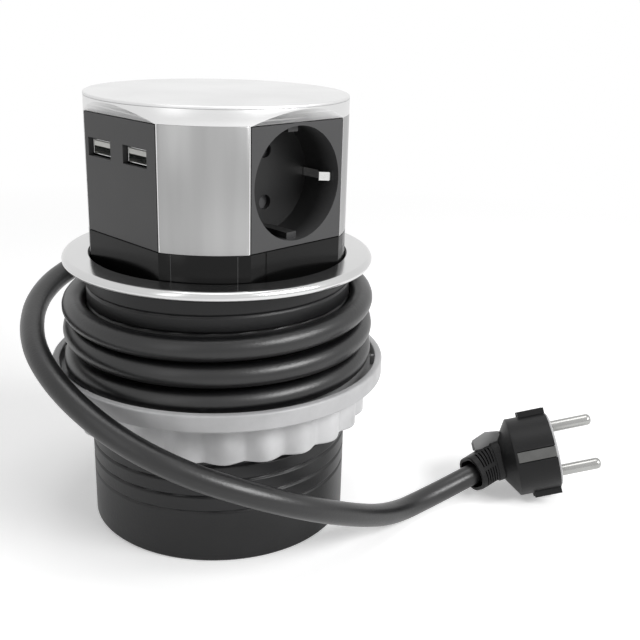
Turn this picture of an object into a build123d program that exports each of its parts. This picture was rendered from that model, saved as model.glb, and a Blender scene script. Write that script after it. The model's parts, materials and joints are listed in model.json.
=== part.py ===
from build123d import *
import os
from math import asin, cos, degrees, hypot, pi, radians, sin, sqrt, tan

os.makedirs("parts", exist_ok=True)

# Pop-up desk socket. Millimetres, +Z up, origin on the floor at the middle of the tube's foot.
# Three socket faces look along -Y, +X and +Y, the USB face looks along -X.
# The tower stands raised. An angle round the axis is counted from -Y towards +X.

overrun = 1.0
running_gap = 0.3
seat_gap = 0.1

# Socket insert: the square that every face of the tower holds, and its well
insert_size = 43.0
face_distance = 44.2
face_margin = 0.4
plate_thickness = 2.0
cup_wall = 1.15
well_depth = 17.5
well_rise = 0.4
cup_floor_thickness = 2.0
pin_offset = 9.5
pin_hole_radius = 2.75
guide_rib_width = 4.6
guide_rib_height = 2.4
guide_rib_start = 3.0
clip_width = 3.2
clip_thickness = 0.8
clip_setback = 0.35
clip_bump = 2.8
clip_bump_length = 3.0
clip_tip_setback = 3.4
pivot_radius = 2.0
pivot_length = 1.8
shutter_thickness = 1.2
shutter_lap = 0.75
shutter_half_width = 3.5
shutter_bore_clearance = 0.08
face_half_width = insert_size / 2
cup_radius = face_half_width - seat_gap
well_radius = cup_radius - cup_wall
well_floor = face_distance - well_depth
cup_back = well_floor - cup_floor_thickness
clip_reach = well_radius - clip_setback
clip_tip = face_distance - clip_tip_setback
clip_base_back = cup_back - pivot_length - 2 * seat_gap - clip_thickness
shutter_reach = pin_offset + pin_hole_radius + shutter_lap

# Radii of the tower and of the tube round it
tube_wall = 1.8
head_gap = 0.5
panel_thickness = 1.8
panel_gap = 0.4
column_gap = 0.6
head_radius = hypot(face_distance, face_half_width + seat_gap)
bore_radius = head_radius + head_gap
tube_radius = bore_radius + tube_wall
panel_edge = face_half_width + panel_gap
column_edge = face_half_width + column_gap
column_radius = head_radius - panel_thickness - seat_gap
tower_angles = (0, 90, 180)

# Flange and thread
flange_overhang = 8.5
flange_thickness = 3.8
flange_underside = 105.5
flange_lip_thickness = 1.2
flange_bevel = 0.8
flange_radius = tube_radius + flange_overhang
flange_opening_radius = bore_radius + running_gap
flange_top = flange_underside + flange_thickness
tube_top = flange_top - flange_lip_thickness
thread_pitch = 6.4
thread_depth = 0.35
thread_bottom = 22.2
thread_grooves = int((flange_underside - thread_bottom) / thread_pitch)

# Heights of the tower
plinth_engagement = 10.3
plinth_height = 20.1
plinth_wall = 2.4
band_height = 5.4
lid_thickness = 1.1
lid_bevel = 0.4
base_plate_thickness = 4.0
skirt_depth = 3.6
skirt_wall = 2.5
plinth_bottom = flange_top - plinth_engagement
face_bottom = plinth_bottom + plinth_height
face_top = face_bottom + insert_size + 2 * face_margin
lid_bottom = face_top + band_height
lid_top = lid_bottom + lid_thickness
stroke = lid_top - flange_top - seat_gap
base_plate_bottom = plinth_bottom - base_plate_thickness
base_bottom = base_plate_bottom - skirt_depth
well_height = (face_bottom + face_top) / 2 + well_rise

# Contacts and their carriers
pin_radius = 2.4
sleeve_bore_radius = 2.5
sleeve_radius = 3.4
sleeve_start = 7.2
bus_thickness = 1.2
bus_width = 6.0
carrier_gap = 0.5
chassis_thickness = 2.0
sleeve_end = clip_base_back + clip_thickness - seat_gap
chassis_half = cup_back - running_gap
chassis_arm_width = 9.0
carrier_half = min(column_edge, clip_base_back) - carrier_gap
live_height = well_height + pin_offset
neutral_height = well_height - pin_offset

# Tower screws and cap screws, in the middle of the chassis columns
screw_radius = 1.5
screw_clearance = 0.1
screw_head_radius = 2.8
screw_head_height = 1.8
boss_radius = 4.2
tower_screw_reach = 11.9
cap_pocket_depth = 2.0
cap_screw_length = 12.3
screw_place = (column_edge + column_radius / sqrt(2)) / 2
tower_screw_top = face_bottom + tower_screw_reach
cap_screw_bottom = lid_bottom - cap_pocket_depth - cap_screw_length
cap_ring_bore = chassis_half

# USB face
port_offset = 10.9
port_shift = 1.5
port_drop = 12.5
port_margin = 0.6
port_recess = 1.7
shell_width = 12.9
shell_height = 5.4
shell_wall = 0.3
shell_depth = 12.4
board_side_gap = 2.0
board_margin = 3.4
board_thickness = 1.6
tongue_width = 11.1
tongue_thickness = 1.84
tongue_depth = 11.0
converter_width = 16.0
converter_height = 14.0
converter_depth = 5.0
board_post_radius = 2.4
board_post_inset = 2.5
board_post_rise = 4.5
port_height = face_top - port_drop
board_half_width = face_half_width - board_side_gap
board_bottom = face_bottom + board_margin
board_top = face_top - board_margin
board_post_offset = board_half_width - board_post_inset

# Carriage guides and terminal block
key_width = 5.4
key_depth = 0.7
key_angles = (0, 120, 240)
terminal_length = 30.0
terminal_width = 16.0
terminal_height = 12.0
terminal_screw_radius = 2.0
terminal_pitch = 10.0

# Bottom cap and lift spring
cap_bottom = 1.2
cap_thickness = 2.8
cap_top = cap_bottom + cap_thickness
cap_boss_height = 10.0
cap_boss_radius = 4.6
cap_boss_inset = 4.1
cap_boss_place = bore_radius - cap_boss_inset
cap_boss_angles = (150, 270, 30)
spring_radius = 15.0
spring_wire_radius = 0.7
spring_curls = 12
spring_seat_radius = spring_radius - spring_wire_radius - running_gap
spring_seat_height = 3.0

# Latch, and the striker that it catches when the tower is down
latch_place = 27.0
latch_rise = 5.0
latch_pin_radius = 1.5
latch_pin_clearance = 0.05
latch_arm_width = 2.4
latch_arm_depth = 5.0
latch_nose_length = 3.2
latch_nose_height = 2.7
latch_play = 1.0
latch_ear_thickness = 1.6
latch_eye_radius = 3.0
striker_length = 15.6
striker_thickness = 2.0
striker_lip = 2.0
striker_lip_height = 2.5
striker_half_width = 3.0
striker_place = 18.0
latch_height = cap_top + latch_rise
striker_bottom = base_plate_bottom - striker_length
latch_nose_bottom = striker_bottom - stroke + striker_lip_height + latch_play
latch_arm_top = latch_nose_bottom + latch_nose_height

# Ring nut and clamp ring
nut_bottom = 44.2
nut_height = 16.1
nut_wall = 7.9
nut_lobes = 24
nut_groove_radius = 7.0
nut_groove_depth = 1.9
nut_clearance = 0.3
rim_reach = 14.4
rim_wall = 3.0
rim_height = 6.6
dish_floor_thickness = 1.8
dish_ribs = 8
dish_rib_width = 1.6
dish_rib_depth = 1.5
nut_radius = tube_radius + nut_wall
nut_top = nut_bottom + nut_height
rim_radius = tube_radius + rim_reach
dish_bottom = nut_top + seat_gap
rim_top = dish_bottom + rim_height
ring_bore = tube_radius + nut_clearance

# Lead, gland and inner lead
cord_radius = 4.5
coil_gap = 0.5
coil_radius = tube_radius + cord_radius + coil_gap
coil_start_angle = 211.09
gland_angle = 103.38
gland_height = 12.0
gland_standoff = 23.5
gland_reach = tube_radius + gland_standoff
relief_rise = 41.83
relief_length = 26.0
relief_root_radius = 6.5
relief_tip_radius = 5.3
gland_stub_radius = 6.0
gland_collar_radius = 8.0
gland_collar_thickness = 3.0
gland_nut_radius = 8.5
gland_nut_thickness = 3.2
clamp_half_width = 6.0
clamp_height = 14.0
clamp_length = 11.5
clamp_setback = 4.7
clamp_outer = bore_radius - clamp_setback
clamp_inner = clamp_outer - clamp_length
inner_lead_radius = 2.5
inner_lead_setback = 11.7
inner_lead_turn_radius = bore_radius - inner_lead_setback
inner_lead_turns = 4
anchor_depth = 10.0
anchor_half_width = 4.0

# Plug
plug_heading = -46.0
plug_tilt = 15.0
plug_roll = 25.0
plug_front_place = (107.0, -94.0, 21.15)
plug_half_width = 18.2
plug_half_height = 16.6
plug_depth = 22.0
plug_rim_depth = 17.0
plug_back_half_width = 11.4
plug_back_half_height = 9.0
plug_pin_length = 19.0
plug_pin_tip = 1.2
plug_pin_root_radius = 1.9
plug_guide_width = 9.6
plug_guide_reach = 18.4
plug_guide_length = 11.5
plug_slot_width = 5.0
plug_slot_floor = 14.6
plug_slot_length = 16.0
earth_strip_width = 4.4
earth_strip_thickness = 1.0
earth_strip_recess = 0.6
mouth_width = 18.0
mouth_height = 15.0
mouth_rounding = 5.6
relief_back_width = 22.0
relief_back_height = 15.0

# The free lead's corners, from the coil to the mouth of the plug's strain relief
lead_corners = (
    (33.9, 53.2, 96.3),
    (17.1, 66.5, 95.4),
    (-5.1, 72.5, 93.2),
    (-28.5, 68.5, 90.0),
    (-48.1, 55.2, 86.5),
    (-62.5, 37.4, 82.5),
    (-72.6, 16.0, 77.5),
    (-75.1, -8.0, 69.5),
    (-68.9, -30.8, 59.0),
    (-55.8, -50.4, 49.3),
    (-37.5, -64.2, 40.2),
    (-17.5, -71.0, 30.4),
    (3.0, -71.5, 20.2),
    (22.5, -69.5, 11.0),
    (39.5, -66.8, 5.3),
    (54.0, -66.5, 4.6),
    (67.0, -68.5, 6.2),
    (80.0, -72.5, 10.0),
)
# The riser's corners behind the tube, from the bend relief to the coil
riser_corners = (
    (65.4, 49.3, 41.4),
    (55.9, 60.7, 53.6),
    (41.3, 67.8, 63.8),
    (23.4, 69.8, 70.4),
    (-0.6, 65.6, 72.8),
)
# Height of the coil after each quarter turn, and its slope there, as shares of the cord's diameter
coil_base = 69.0
coil_height_shares = (0, -0.12, 0.13, 0.83, 1.22, 1.0, 1.22, 1.89, 2.29, 2.07, 2.44, 2.94)
coil_slope_shares = (-0.115, 0.01, 0.05, 0.05, -0.03, 0, 0.045, 0.05, -0.03, 0.01, 0.045, 0.03)


def place(angle, radius, height):
    """A point at an angle from -Y towards +X."""
    turn = radians(angle)
    return Vector(radius * sin(turn), -radius * cos(turn), height)


def along(angle):
    """The direction in which the angle grows."""
    return Vector(cos(radians(angle)), sin(radians(angle)), 0)


def outward(angle):
    return Vector(sin(radians(angle)), -cos(radians(angle)), 0)


def facing(angle, distance, height):
    """A plane whose normal looks outward at this angle, with its Y axis up."""
    return Plane(origin=place(angle, distance, height), x_dir=along(angle), z_dir=outward(angle))


def finish(piece, name):
    piece.part.label = name
    export_step(piece.part, f"parts/{name}.step")


def corner_radii(points):
    """Each corner is rounded with 0.45 of its shorter run."""
    run_share = 0.45
    radii = []
    for before, corner, after in zip(points, points[1:], points[2:]):
        run_in = corner - before
        run_out = after - corner
        half_turn = radians(run_in.get_angle(run_out)) / 2
        radii.append(run_share * min(run_in.length, run_out.length) / tan(half_turn))
    return radii


def turn_arcs(start, start_way, end, end_way):
    """Two arcs that join smoothly, leaving along start_way and arriving along end_way."""
    chord = end - start
    ways = start_way + end_way
    bend = 2 * (1 - start_way.dot(end_way))
    lean = chord.dot(ways)
    reach = (sqrt(lean ** 2 + bend * chord.dot(chord)) - lean) / bend
    first_corner = start + start_way * reach
    second_corner = end - end_way * reach
    join = (first_corner + second_corner) * 0.5
    TangentArc(start, join, tangent=start_way)
    TangentArc(join, end, tangent=(second_corner - first_corner).normalized())


def wind(radius, angles, heights, slopes, straight):
    """An unbroken winding through quarter turns, with straight ends of this length."""
    points = [place(angle, radius, height) for angle, height in zip(angles, heights)]
    ways = [(along(angle) + Vector(0, 0, slope)).normalized() for angle, slope in zip(angles, slopes)]
    if straight:
        Line(points[0] - ways[0] * straight, points[0])
    for start, start_way, end, end_way in zip(points, ways, points[1:], ways[1:]):
        turn_arcs(start, start_way, end, end_way)
    if straight:
        Line(points[-1], points[-1] + ways[-1] * straight)
    return points, ways


def quarter_angles(start, quarters):
    return [start + 90 * quarter for quarter in range(quarters + 1)]


# Threaded tube, with the thread's grooves as rings
key_stop = plinth_bottom + running_gap
with BuildPart() as housing_tube:
    with BuildSketch() as tube_foot:
        Circle(tube_radius)
        Circle(bore_radius, mode=Mode.SUBTRACT)
    extrude(amount=tube_top)
    with BuildSketch(Plane.XZ):
        for groove in range(thread_grooves):
            groove_height = thread_bottom + groove * thread_pitch
            with BuildLine():
                Polyline(
                    (tube_radius + thread_depth, groove_height - 2 * thread_depth),
                    (tube_radius - thread_depth, groove_height),
                    (tube_radius + thread_depth, groove_height + 2 * thread_depth),
                    close=True,
                )
            make_face()
    revolve(axis=Axis.Z, mode=Mode.SUBTRACT)
    with BuildSketch(Plane.XY.offset(cap_bottom + cap_thickness)):
        for angle in cap_boss_angles:
            with Locations(place(angle, cap_boss_place, 0)):
                Circle(cap_boss_radius)
        Circle(tube_radius - plinth_wall / 2, mode=Mode.INTERSECT)
    extrude(amount=cap_boss_height)
    for angle in cap_boss_angles:
        with Locations(place(angle, cap_boss_place, cap_top)):
            Cylinder(
                screw_radius + screw_clearance,
                cap_boss_height * 2,
                mode=Mode.SUBTRACT,
            )
    for angle in key_angles:
        with BuildSketch(Plane(origin=(0, 0, 0), x_dir=along(angle), z_dir=(0, 0, 1))):
            with Locations((0, -(bore_radius + key_depth) / 2)):
                Rectangle(key_width + 2 * running_gap, bore_radius + key_depth)
        extrude(amount=key_stop, mode=Mode.SUBTRACT)
    with Locations(facing(gland_angle, bore_radius, gland_height)):
        Cylinder(gland_stub_radius + seat_gap, 4 * overrun + 2 * plinth_wall, mode=Mode.SUBTRACT)
finish(housing_tube, "housing_tube")

# Flange ring: a lip over the tube's end, and a counterbore that the tube stands in
with BuildPart() as flange_ring:
    with BuildSketch(Plane.XZ):
        with BuildLine():
            Polyline(
                (tube_radius + seat_gap, flange_underside),
                (flange_radius, flange_underside),
                (flange_radius, flange_top - flange_bevel),
                (flange_radius - flange_bevel, flange_top),
                (flange_opening_radius, flange_top),
                (flange_opening_radius, tube_top),
                (tube_radius + seat_gap, tube_top),
                close=True,
            )
        make_face()
    revolve(axis=Axis.Z)
finish(flange_ring, "flange_ring")

# Bottom cap with the spring's seat and the latch's ears
with BuildPart() as bottom_cap:
    with BuildSketch(Plane.XY.offset(cap_bottom)):
        Circle(bore_radius - seat_gap)
    extrude(amount=cap_thickness)
    with BuildSketch(Plane.XY.offset(cap_top)):
        Circle(spring_seat_radius)
    extrude(amount=spring_seat_height)
    ear_offset = latch_arm_depth / 2 + seat_gap + latch_ear_thickness / 2
    ear_height = latch_height + latch_eye_radius - cap_top
    with Locations((-latch_place, -ear_offset, cap_top), (-latch_place, ear_offset, cap_top)):
        Box(
            2 * latch_eye_radius,
            latch_ear_thickness,
            ear_height,
            align=(Align.CENTER, Align.CENTER, Align.MIN),
        )
    with Locations(Plane(origin=(-latch_place, 0, latch_height), z_dir=(0, 1, 0))):
        Cylinder(latch_pin_radius, 4 * ear_offset, mode=Mode.SUBTRACT)
    for angle in cap_boss_angles:
        with Locations(place(angle, cap_boss_place, cap_bottom)):
            Cylinder(screw_radius + screw_clearance, 4 * cap_thickness, mode=Mode.SUBTRACT)
            Cylinder(screw_head_radius + screw_clearance, 2 * screw_head_height, mode=Mode.SUBTRACT)
finish(bottom_cap, "bottom_cap")

with BuildPart() as bottom_cap_screws:
    for angle in cap_boss_angles:
        with BuildSketch(Plane.XY.offset(cap_bottom)):
            with Locations(place(angle, cap_boss_place, 0)):
                Circle(screw_head_radius)
        extrude(amount=screw_head_height)
        with BuildSketch(Plane.XY.offset(cap_bottom + screw_head_height)):
            with Locations(place(angle, cap_boss_place, 0)):
                Circle(screw_radius)
        extrude(amount=cap_boss_height)
finish(bottom_cap_screws, "bottom_cap_screws")

# Latch: a sprung arm on a pin, whose nose catches the striker's lip when the tower is down
latch_plane = Plane(origin=(0, latch_arm_depth / 2, 0), x_dir=(1, 0, 0), z_dir=(0, -1, 0))
with BuildPart() as latch_arm:
    with BuildSketch(latch_plane):
        with BuildLine():
            arm_left = -latch_place - latch_arm_width / 2
            arm_right = -latch_place + latch_arm_width / 2
            nose_tip = arm_right + latch_nose_length
            Polyline(
                (arm_left, latch_height),
                (arm_right, latch_height),
                (arm_right, latch_nose_bottom),
                (nose_tip, latch_nose_bottom),
                (nose_tip, latch_nose_bottom + latch_nose_height / 3),
                (arm_right, latch_arm_top),
                (arm_left, latch_arm_top),
                close=True,
            )
        make_face()
        with Locations((-latch_place, latch_height)):
            Circle(latch_eye_radius)
            Circle(latch_pin_radius + latch_pin_clearance, mode=Mode.SUBTRACT)
    extrude(amount=latch_arm_depth)
finish(latch_arm, "latch_arm")

with BuildPart() as latch_pin:
    with Locations(Plane(origin=(-latch_place, 0, latch_height), z_dir=(0, 1, 0))):
        Cylinder(latch_pin_radius, latch_arm_depth + 2 * seat_gap + 2 * latch_ear_thickness)
finish(latch_pin, "latch_pin")

with BuildPart() as latch_striker:
    with Locations((-striker_place, 0, striker_bottom)):
        Box(
            striker_thickness,
            2 * striker_half_width,
            base_plate_bottom - striker_bottom,
            align=(Align.MAX, Align.CENTER, Align.MIN),
        )
        Box(
            striker_thickness + striker_lip,
            2 * striker_half_width,
            striker_lip_height,
            align=(Align.MAX, Align.CENTER, Align.MIN),
        )
finish(latch_striker, "latch_striker")

# Lift spring, from the cap's seat to the underside of the carriage's plate
with BuildPart() as lift_spring:
    spring_low = cap_top + spring_wire_radius + seat_gap
    spring_high = base_plate_bottom - spring_wire_radius - seat_gap
    spring_angles = quarter_angles(0, 4 * spring_curls)
    spring_rise = (spring_high - spring_low) / (4 * spring_curls)
    spring_heights = [spring_low + spring_rise * quarter for quarter in range(4 * spring_curls + 1)]
    spring_slope = spring_rise / (spring_radius * pi / 2)
    with BuildLine() as spring_path:
        wind(spring_radius, spring_angles, spring_heights, [spring_slope] * len(spring_heights), 0)
    with BuildSketch(Plane(origin=spring_path.line @ 0, z_dir=spring_path.line % 0)):
        Circle(spring_wire_radius)
    sweep(path=spring_path.line)
finish(lift_spring, "lift_spring")

# Cable gland through the tube's wall, its inner nut, and the bend relief that points up round the tube
with BuildPart() as cable_gland:
    stub_start = clamp_outer + seat_gap
    with BuildSketch(facing(gland_angle, stub_start, gland_height)):
        Circle(gland_stub_radius)
    extrude(amount=gland_reach - relief_root_radius - stub_start)
    with BuildSketch(facing(gland_angle, tube_radius + seat_gap, gland_height)):
        Circle(gland_collar_radius)
    extrude(amount=gland_collar_thickness)
finish(cable_gland, "cable_gland")

nut_face = sqrt(bore_radius ** 2 - gland_nut_radius ** 2) - running_gap
with BuildPart() as gland_nut:
    with BuildSketch(facing(gland_angle, nut_face - gland_nut_thickness, gland_height)):
        RegularPolygon(gland_nut_radius, 6)
        Circle(gland_stub_radius + seat_gap, mode=Mode.SUBTRACT)
    extrude(amount=gland_nut_thickness)
finish(gland_nut, "gland_nut")

relief_way = (along(gland_angle) * cos(radians(relief_rise)) + Vector(0, 0, sin(radians(relief_rise))))
elbow = place(gland_angle, gland_reach, gland_height)
relief_tip = elbow + relief_way * relief_length
relief_plane = Plane(origin=elbow, x_dir=outward(gland_angle), z_dir=outward(gland_angle).cross(relief_way))
with BuildPart() as bend_relief:
    with BuildSketch(relief_plane):
        with BuildLine():
            CenterArc((0, 0), relief_root_radius, -90, 90)
            Polyline(
                (relief_root_radius, 0),
                (relief_tip_radius, relief_length),
                (0, relief_length),
                (0, -relief_root_radius),
            )
        make_face()
    revolve(axis=Axis(elbow, relief_way))
    with BuildSketch(facing(gland_angle, gland_reach - relief_root_radius, gland_height)):
        Circle(gland_stub_radius)
    extrude(amount=relief_root_radius)
finish(bend_relief, "bend_relief")

# Mains lead: riser, coil and free lead, face to face
coil_quarters = len(coil_height_shares) - 1
coil_angles = quarter_angles(coil_start_angle, coil_quarters)
coil_heights = [coil_base + share * 2 * cord_radius for share in coil_height_shares]
with BuildPart() as cord_coil:
    with BuildLine() as coil_path:
        coil_points, coil_ways = wind(
            coil_radius, coil_angles, coil_heights, coil_slope_shares, 2 * cord_radius
        )
    with BuildSketch(Plane(origin=coil_path.line @ 0, z_dir=coil_path.line % 0)):
        Circle(cord_radius)
    sweep(path=coil_path.line)
finish(cord_coil, "cord_coil")
coil_start = coil_points[0] - coil_ways[0] * 2 * cord_radius
coil_end = coil_points[-1] + coil_ways[-1] * 2 * cord_radius

samples_per_turn = 72
coil_edges = coil_path.edges()
winding = [edge @ (step / 36) for edge in coil_edges[1:-1] for step in range(36)]
least_gap = min(
    (first - second).length
    for index, first in enumerate(winding)
    for second in winding[index + samples_per_turn:]
)
print("least gap of the coil to itself", round(least_gap - 2 * cord_radius, 2))

riser_points = [relief_tip, *[Vector(*corner) for corner in riser_corners], coil_start]
riser_radii = corner_radii(riser_points)
with BuildPart() as cord_riser:
    with BuildLine() as riser_path:
        FilletPolyline(*riser_points, radius=riser_radii)
    with BuildSketch(Plane(origin=riser_path.line @ 0, z_dir=riser_path.line % 0)):
        Circle(cord_radius)
    sweep(path=riser_path.line)
finish(cord_riser, "cord_riser")

lead_points = [coil_end, *[Vector(*corner) for corner in lead_corners]]
lead_radii = corner_radii(lead_points)
with BuildPart() as cord_lead:
    with BuildLine() as lead_path:
        FilletPolyline(*lead_points, radius=lead_radii)
    with BuildSketch(Plane(origin=lead_path.line @ 0, z_dir=lead_path.line % 0)):
        Circle(cord_radius)
    sweep(path=lead_path.line)
finish(cord_lead, "cord_lead")
section = pi * cord_radius ** 2
for name, piece, path in (
    ("riser", cord_riser, riser_path),
    ("coil", cord_coil, coil_path),
    ("lead", cord_lead, lead_path),
):
    length = sum(edge.length for edge in path.edges())
    print(name, "length", round(length, 1), "volume share", round(piece.part.volume / section / length, 4))
print("riser radii", [round(radius, 1) for radius in riser_radii])
print("lead radii", [round(radius, 1) for radius in lead_radii])

# Inner lead: a loose winding from the clamp on the cap to the anchor under the carriage
end_gap = inner_lead_radius / 5 + seat_gap
clamp_turn = degrees(asin((clamp_half_width + end_gap) / inner_lead_turn_radius))
anchor_turn = degrees(asin((anchor_half_width + end_gap) / inner_lead_turn_radius))
with BuildPart() as cord_clamp:
    with BuildSketch(Plane(origin=(0, 0, cap_top), x_dir=along(gland_angle), z_dir=(0, 0, 1))):
        with Locations((0, -(clamp_inner + clamp_outer) / 2)):
            Rectangle(2 * clamp_half_width, clamp_outer - clamp_inner)
    extrude(amount=clamp_height)
finish(cord_clamp, "cord_clamp")

with BuildPart() as internal_lead:
    inner_low = cap_top + clamp_height / 2
    inner_high = base_plate_bottom - anchor_depth / 2
    inner_quarters = 4 * inner_lead_turns
    inner_angles = quarter_angles(gland_angle + clamp_turn, inner_quarters)
    inner_rise = (inner_high - inner_low) / inner_quarters
    inner_heights = [inner_low + inner_rise * quarter for quarter in range(inner_quarters + 1)]
    inner_slope = inner_rise / (inner_lead_turn_radius * pi / 2)
    inner_slopes = [0] + [inner_slope] * (inner_quarters - 1) + [0]
    with BuildLine() as inner_path:
        wind(inner_lead_turn_radius, inner_angles, inner_heights, inner_slopes, 0)
    with BuildSketch(Plane(origin=inner_path.line @ 0, z_dir=inner_path.line % 0)):
        Circle(inner_lead_radius)
    sweep(path=inner_path.line)
finish(internal_lead, "internal_lead")

# Clamp ring: a dish with ribs inside its rim
dish_floor = dish_bottom + dish_floor_thickness
with BuildPart() as clamp_ring:
    with BuildSketch(Plane.XZ):
        with BuildLine():
            Polyline(
                (ring_bore, dish_bottom),
                (rim_radius, dish_bottom),
                (rim_radius, rim_top),
                (rim_radius - rim_wall, rim_top),
                (rim_radius - rim_wall, dish_floor),
                (ring_bore, dish_floor),
                close=True,
            )
        make_face()
    revolve(axis=Axis.Z)
    rib_middle = rim_radius - rim_wall + (rim_wall / 2 - dish_rib_depth) / 2
    with BuildSketch(Plane.XY.offset(dish_floor)):
        with PolarLocations(rib_middle, dish_ribs):
            Rectangle(dish_rib_depth + rim_wall / 2, dish_rib_width)
    extrude(amount=rim_top - dish_floor - overrun)
finish(clamp_ring, "clamp_ring")

# Ring nut: a skirt with rounded grooves for the fingers
with BuildPart() as ring_nut:
    with BuildSketch(Plane.XY.offset(nut_bottom)):
        Circle(nut_radius)
        with PolarLocations(nut_radius + nut_groove_radius - nut_groove_depth, nut_lobes):
            Circle(nut_groove_radius, mode=Mode.SUBTRACT)
        Circle(ring_bore, mode=Mode.SUBTRACT)
    extrude(amount=nut_top - nut_bottom)
finish(ring_nut, "ring_nut")

# Lid plate and cap ring
with BuildPart() as lid_plate:
    with BuildSketch(Plane.XY.offset(lid_bottom)):
        Circle(head_radius)
    extrude(amount=lid_thickness)
    chamfer(lid_plate.edges().group_by(Axis.Z)[-1], lid_bevel)
finish(lid_plate, "lid_plate")

with BuildPart() as cap_ring:
    with BuildSketch(Plane.XY.offset(face_top)):
        Circle(head_radius)
        Circle(cap_ring_bore, mode=Mode.SUBTRACT)
    extrude(amount=lid_bottom - face_top)
    facet_rise = head_radius - face_distance
    for quarter in range(4):
        facet_plane = Plane(origin=(0, 0, 0), x_dir=outward(90 * quarter), z_dir=-along(90 * quarter))
        with BuildSketch(facet_plane):
            with BuildLine():
                Polyline(
                    (face_distance - overrun, face_top - overrun),
                    (head_radius + overrun, face_top - overrun),
                    (head_radius + overrun, face_top + facet_rise + overrun),
                    close=True,
                )
            make_face()
        extrude(amount=head_radius, both=True, mode=Mode.SUBTRACT)
    for x in (-screw_place, screw_place):
        for y in (-screw_place, screw_place):
            with Locations((x, y, lid_bottom)):
                Cylinder(screw_head_radius + screw_clearance, 2 * cap_pocket_depth, mode=Mode.SUBTRACT)
                Cylinder(screw_radius + screw_clearance, 2 * head_radius, mode=Mode.SUBTRACT)
finish(cap_ring, "cap_ring")

corners = [(x, y) for x in (-screw_place, screw_place) for y in (-screw_place, screw_place)]
with BuildPart() as cap_screws:
    with BuildSketch(Plane.XY.offset(lid_bottom - cap_pocket_depth)):
        with Locations(*corners):
            Circle(screw_head_radius)
    extrude(amount=screw_head_height)
    with BuildSketch(Plane.XY.offset(cap_screw_bottom)):
        with Locations(*corners):
            Circle(screw_radius)
    extrude(amount=lid_bottom - cap_pocket_depth - cap_screw_bottom)
finish(cap_screws, "cap_screws")

# Corner panels between the faces
for number, (sign_x, sign_y) in enumerate(((-1, -1), (1, -1), (1, 1), (-1, 1)), start=1):
    with BuildPart() as corner_panel:
        with BuildSketch(Plane.XY.offset(face_bottom)):
            Circle(head_radius)
            Circle(head_radius - panel_thickness, mode=Mode.SUBTRACT)
            reach = panel_edge + head_radius / 2
            with Locations((sign_x * reach, sign_y * reach)):
                Rectangle(head_radius, head_radius, mode=Mode.INTERSECT)
        extrude(amount=face_top - face_bottom)
    finish(corner_panel, f"corner_panel_{number}")

# Chassis: four columns between two plates, which reach them with arms on the diagonals
with BuildPart() as chassis:
    for height in (face_bottom, face_top - chassis_thickness):
        with BuildSketch(Plane.XY.offset(height)):
            for turn in (45, 135):
                Rectangle(2 * column_radius, chassis_arm_width, rotation=turn)
            Circle(column_radius, mode=Mode.INTERSECT)
            Rectangle(2 * chassis_half, 2 * chassis_half)
            with Locations(*corners):
                Circle(screw_radius + screw_clearance, mode=Mode.SUBTRACT)
        extrude(amount=chassis_thickness)
    with BuildSketch(Plane.XY.offset(face_bottom)):
        for sign_x in (-1, 1):
            for sign_y in (-1, 1):
                with Locations(
                    (sign_x * (column_edge + head_radius / 2), sign_y * (column_edge + head_radius / 2))
                ):
                    Rectangle(head_radius, head_radius)
        Circle(column_radius, mode=Mode.INTERSECT)
        with Locations(*corners):
            Circle(screw_radius + screw_clearance, mode=Mode.SUBTRACT)
    extrude(amount=face_top - face_bottom)
    for height in (face_bottom, face_top - chassis_thickness):
        with Locations((0, 0, height)):
            Cylinder(
                terminal_width / 2,
                4 * chassis_thickness,
                mode=Mode.SUBTRACT,
            )
finish(chassis, "chassis")


def socket_front(angle):
    """A square plate with a round well, guide ribs, pin holes, clip slots and the shutter's pivot."""
    plate_bottom = face_bottom + running_gap
    plate_height = face_top - face_bottom - 2 * running_gap
    with BuildPart() as front:
        with BuildSketch(facing(angle, face_distance - plate_thickness, plate_bottom + plate_height / 2)):
            Rectangle(2 * face_half_width, plate_height)
        extrude(amount=plate_thickness)
        with BuildSketch(facing(angle, cup_back, well_height)):
            Circle(cup_radius)
        extrude(amount=face_distance - cup_back - seat_gap)
        with BuildSketch(facing(angle, well_floor, well_height)):
            Circle(well_radius)
        extrude(amount=well_depth + overrun, mode=Mode.SUBTRACT)
        with BuildSketch(facing(angle, well_floor, well_height)):
            for side in (-1, 1):
                with Locations((0, side * (well_radius - guide_rib_height / 2 + cup_wall / 4))):
                    Rectangle(guide_rib_width, guide_rib_height + cup_wall / 2)
        extrude(amount=well_depth - guide_rib_start)
        with BuildSketch(facing(angle, cup_back - overrun, well_height)):
            with Locations((0, -pin_offset), (0, pin_offset)):
                Circle(pin_hole_radius)
            for side in (-1, 1):
                with Locations((side * (clip_reach - clip_thickness / 2), 0)):
                    Rectangle(clip_thickness + 4 * seat_gap, clip_width + 4 * seat_gap)
        extrude(amount=cup_floor_thickness + 2 * overrun, mode=Mode.SUBTRACT)
        with BuildSketch(facing(angle, cup_back - pivot_length, well_height)):
            Circle(pivot_radius)
        extrude(amount=pivot_length + cup_floor_thickness / 2)
    return front


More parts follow.
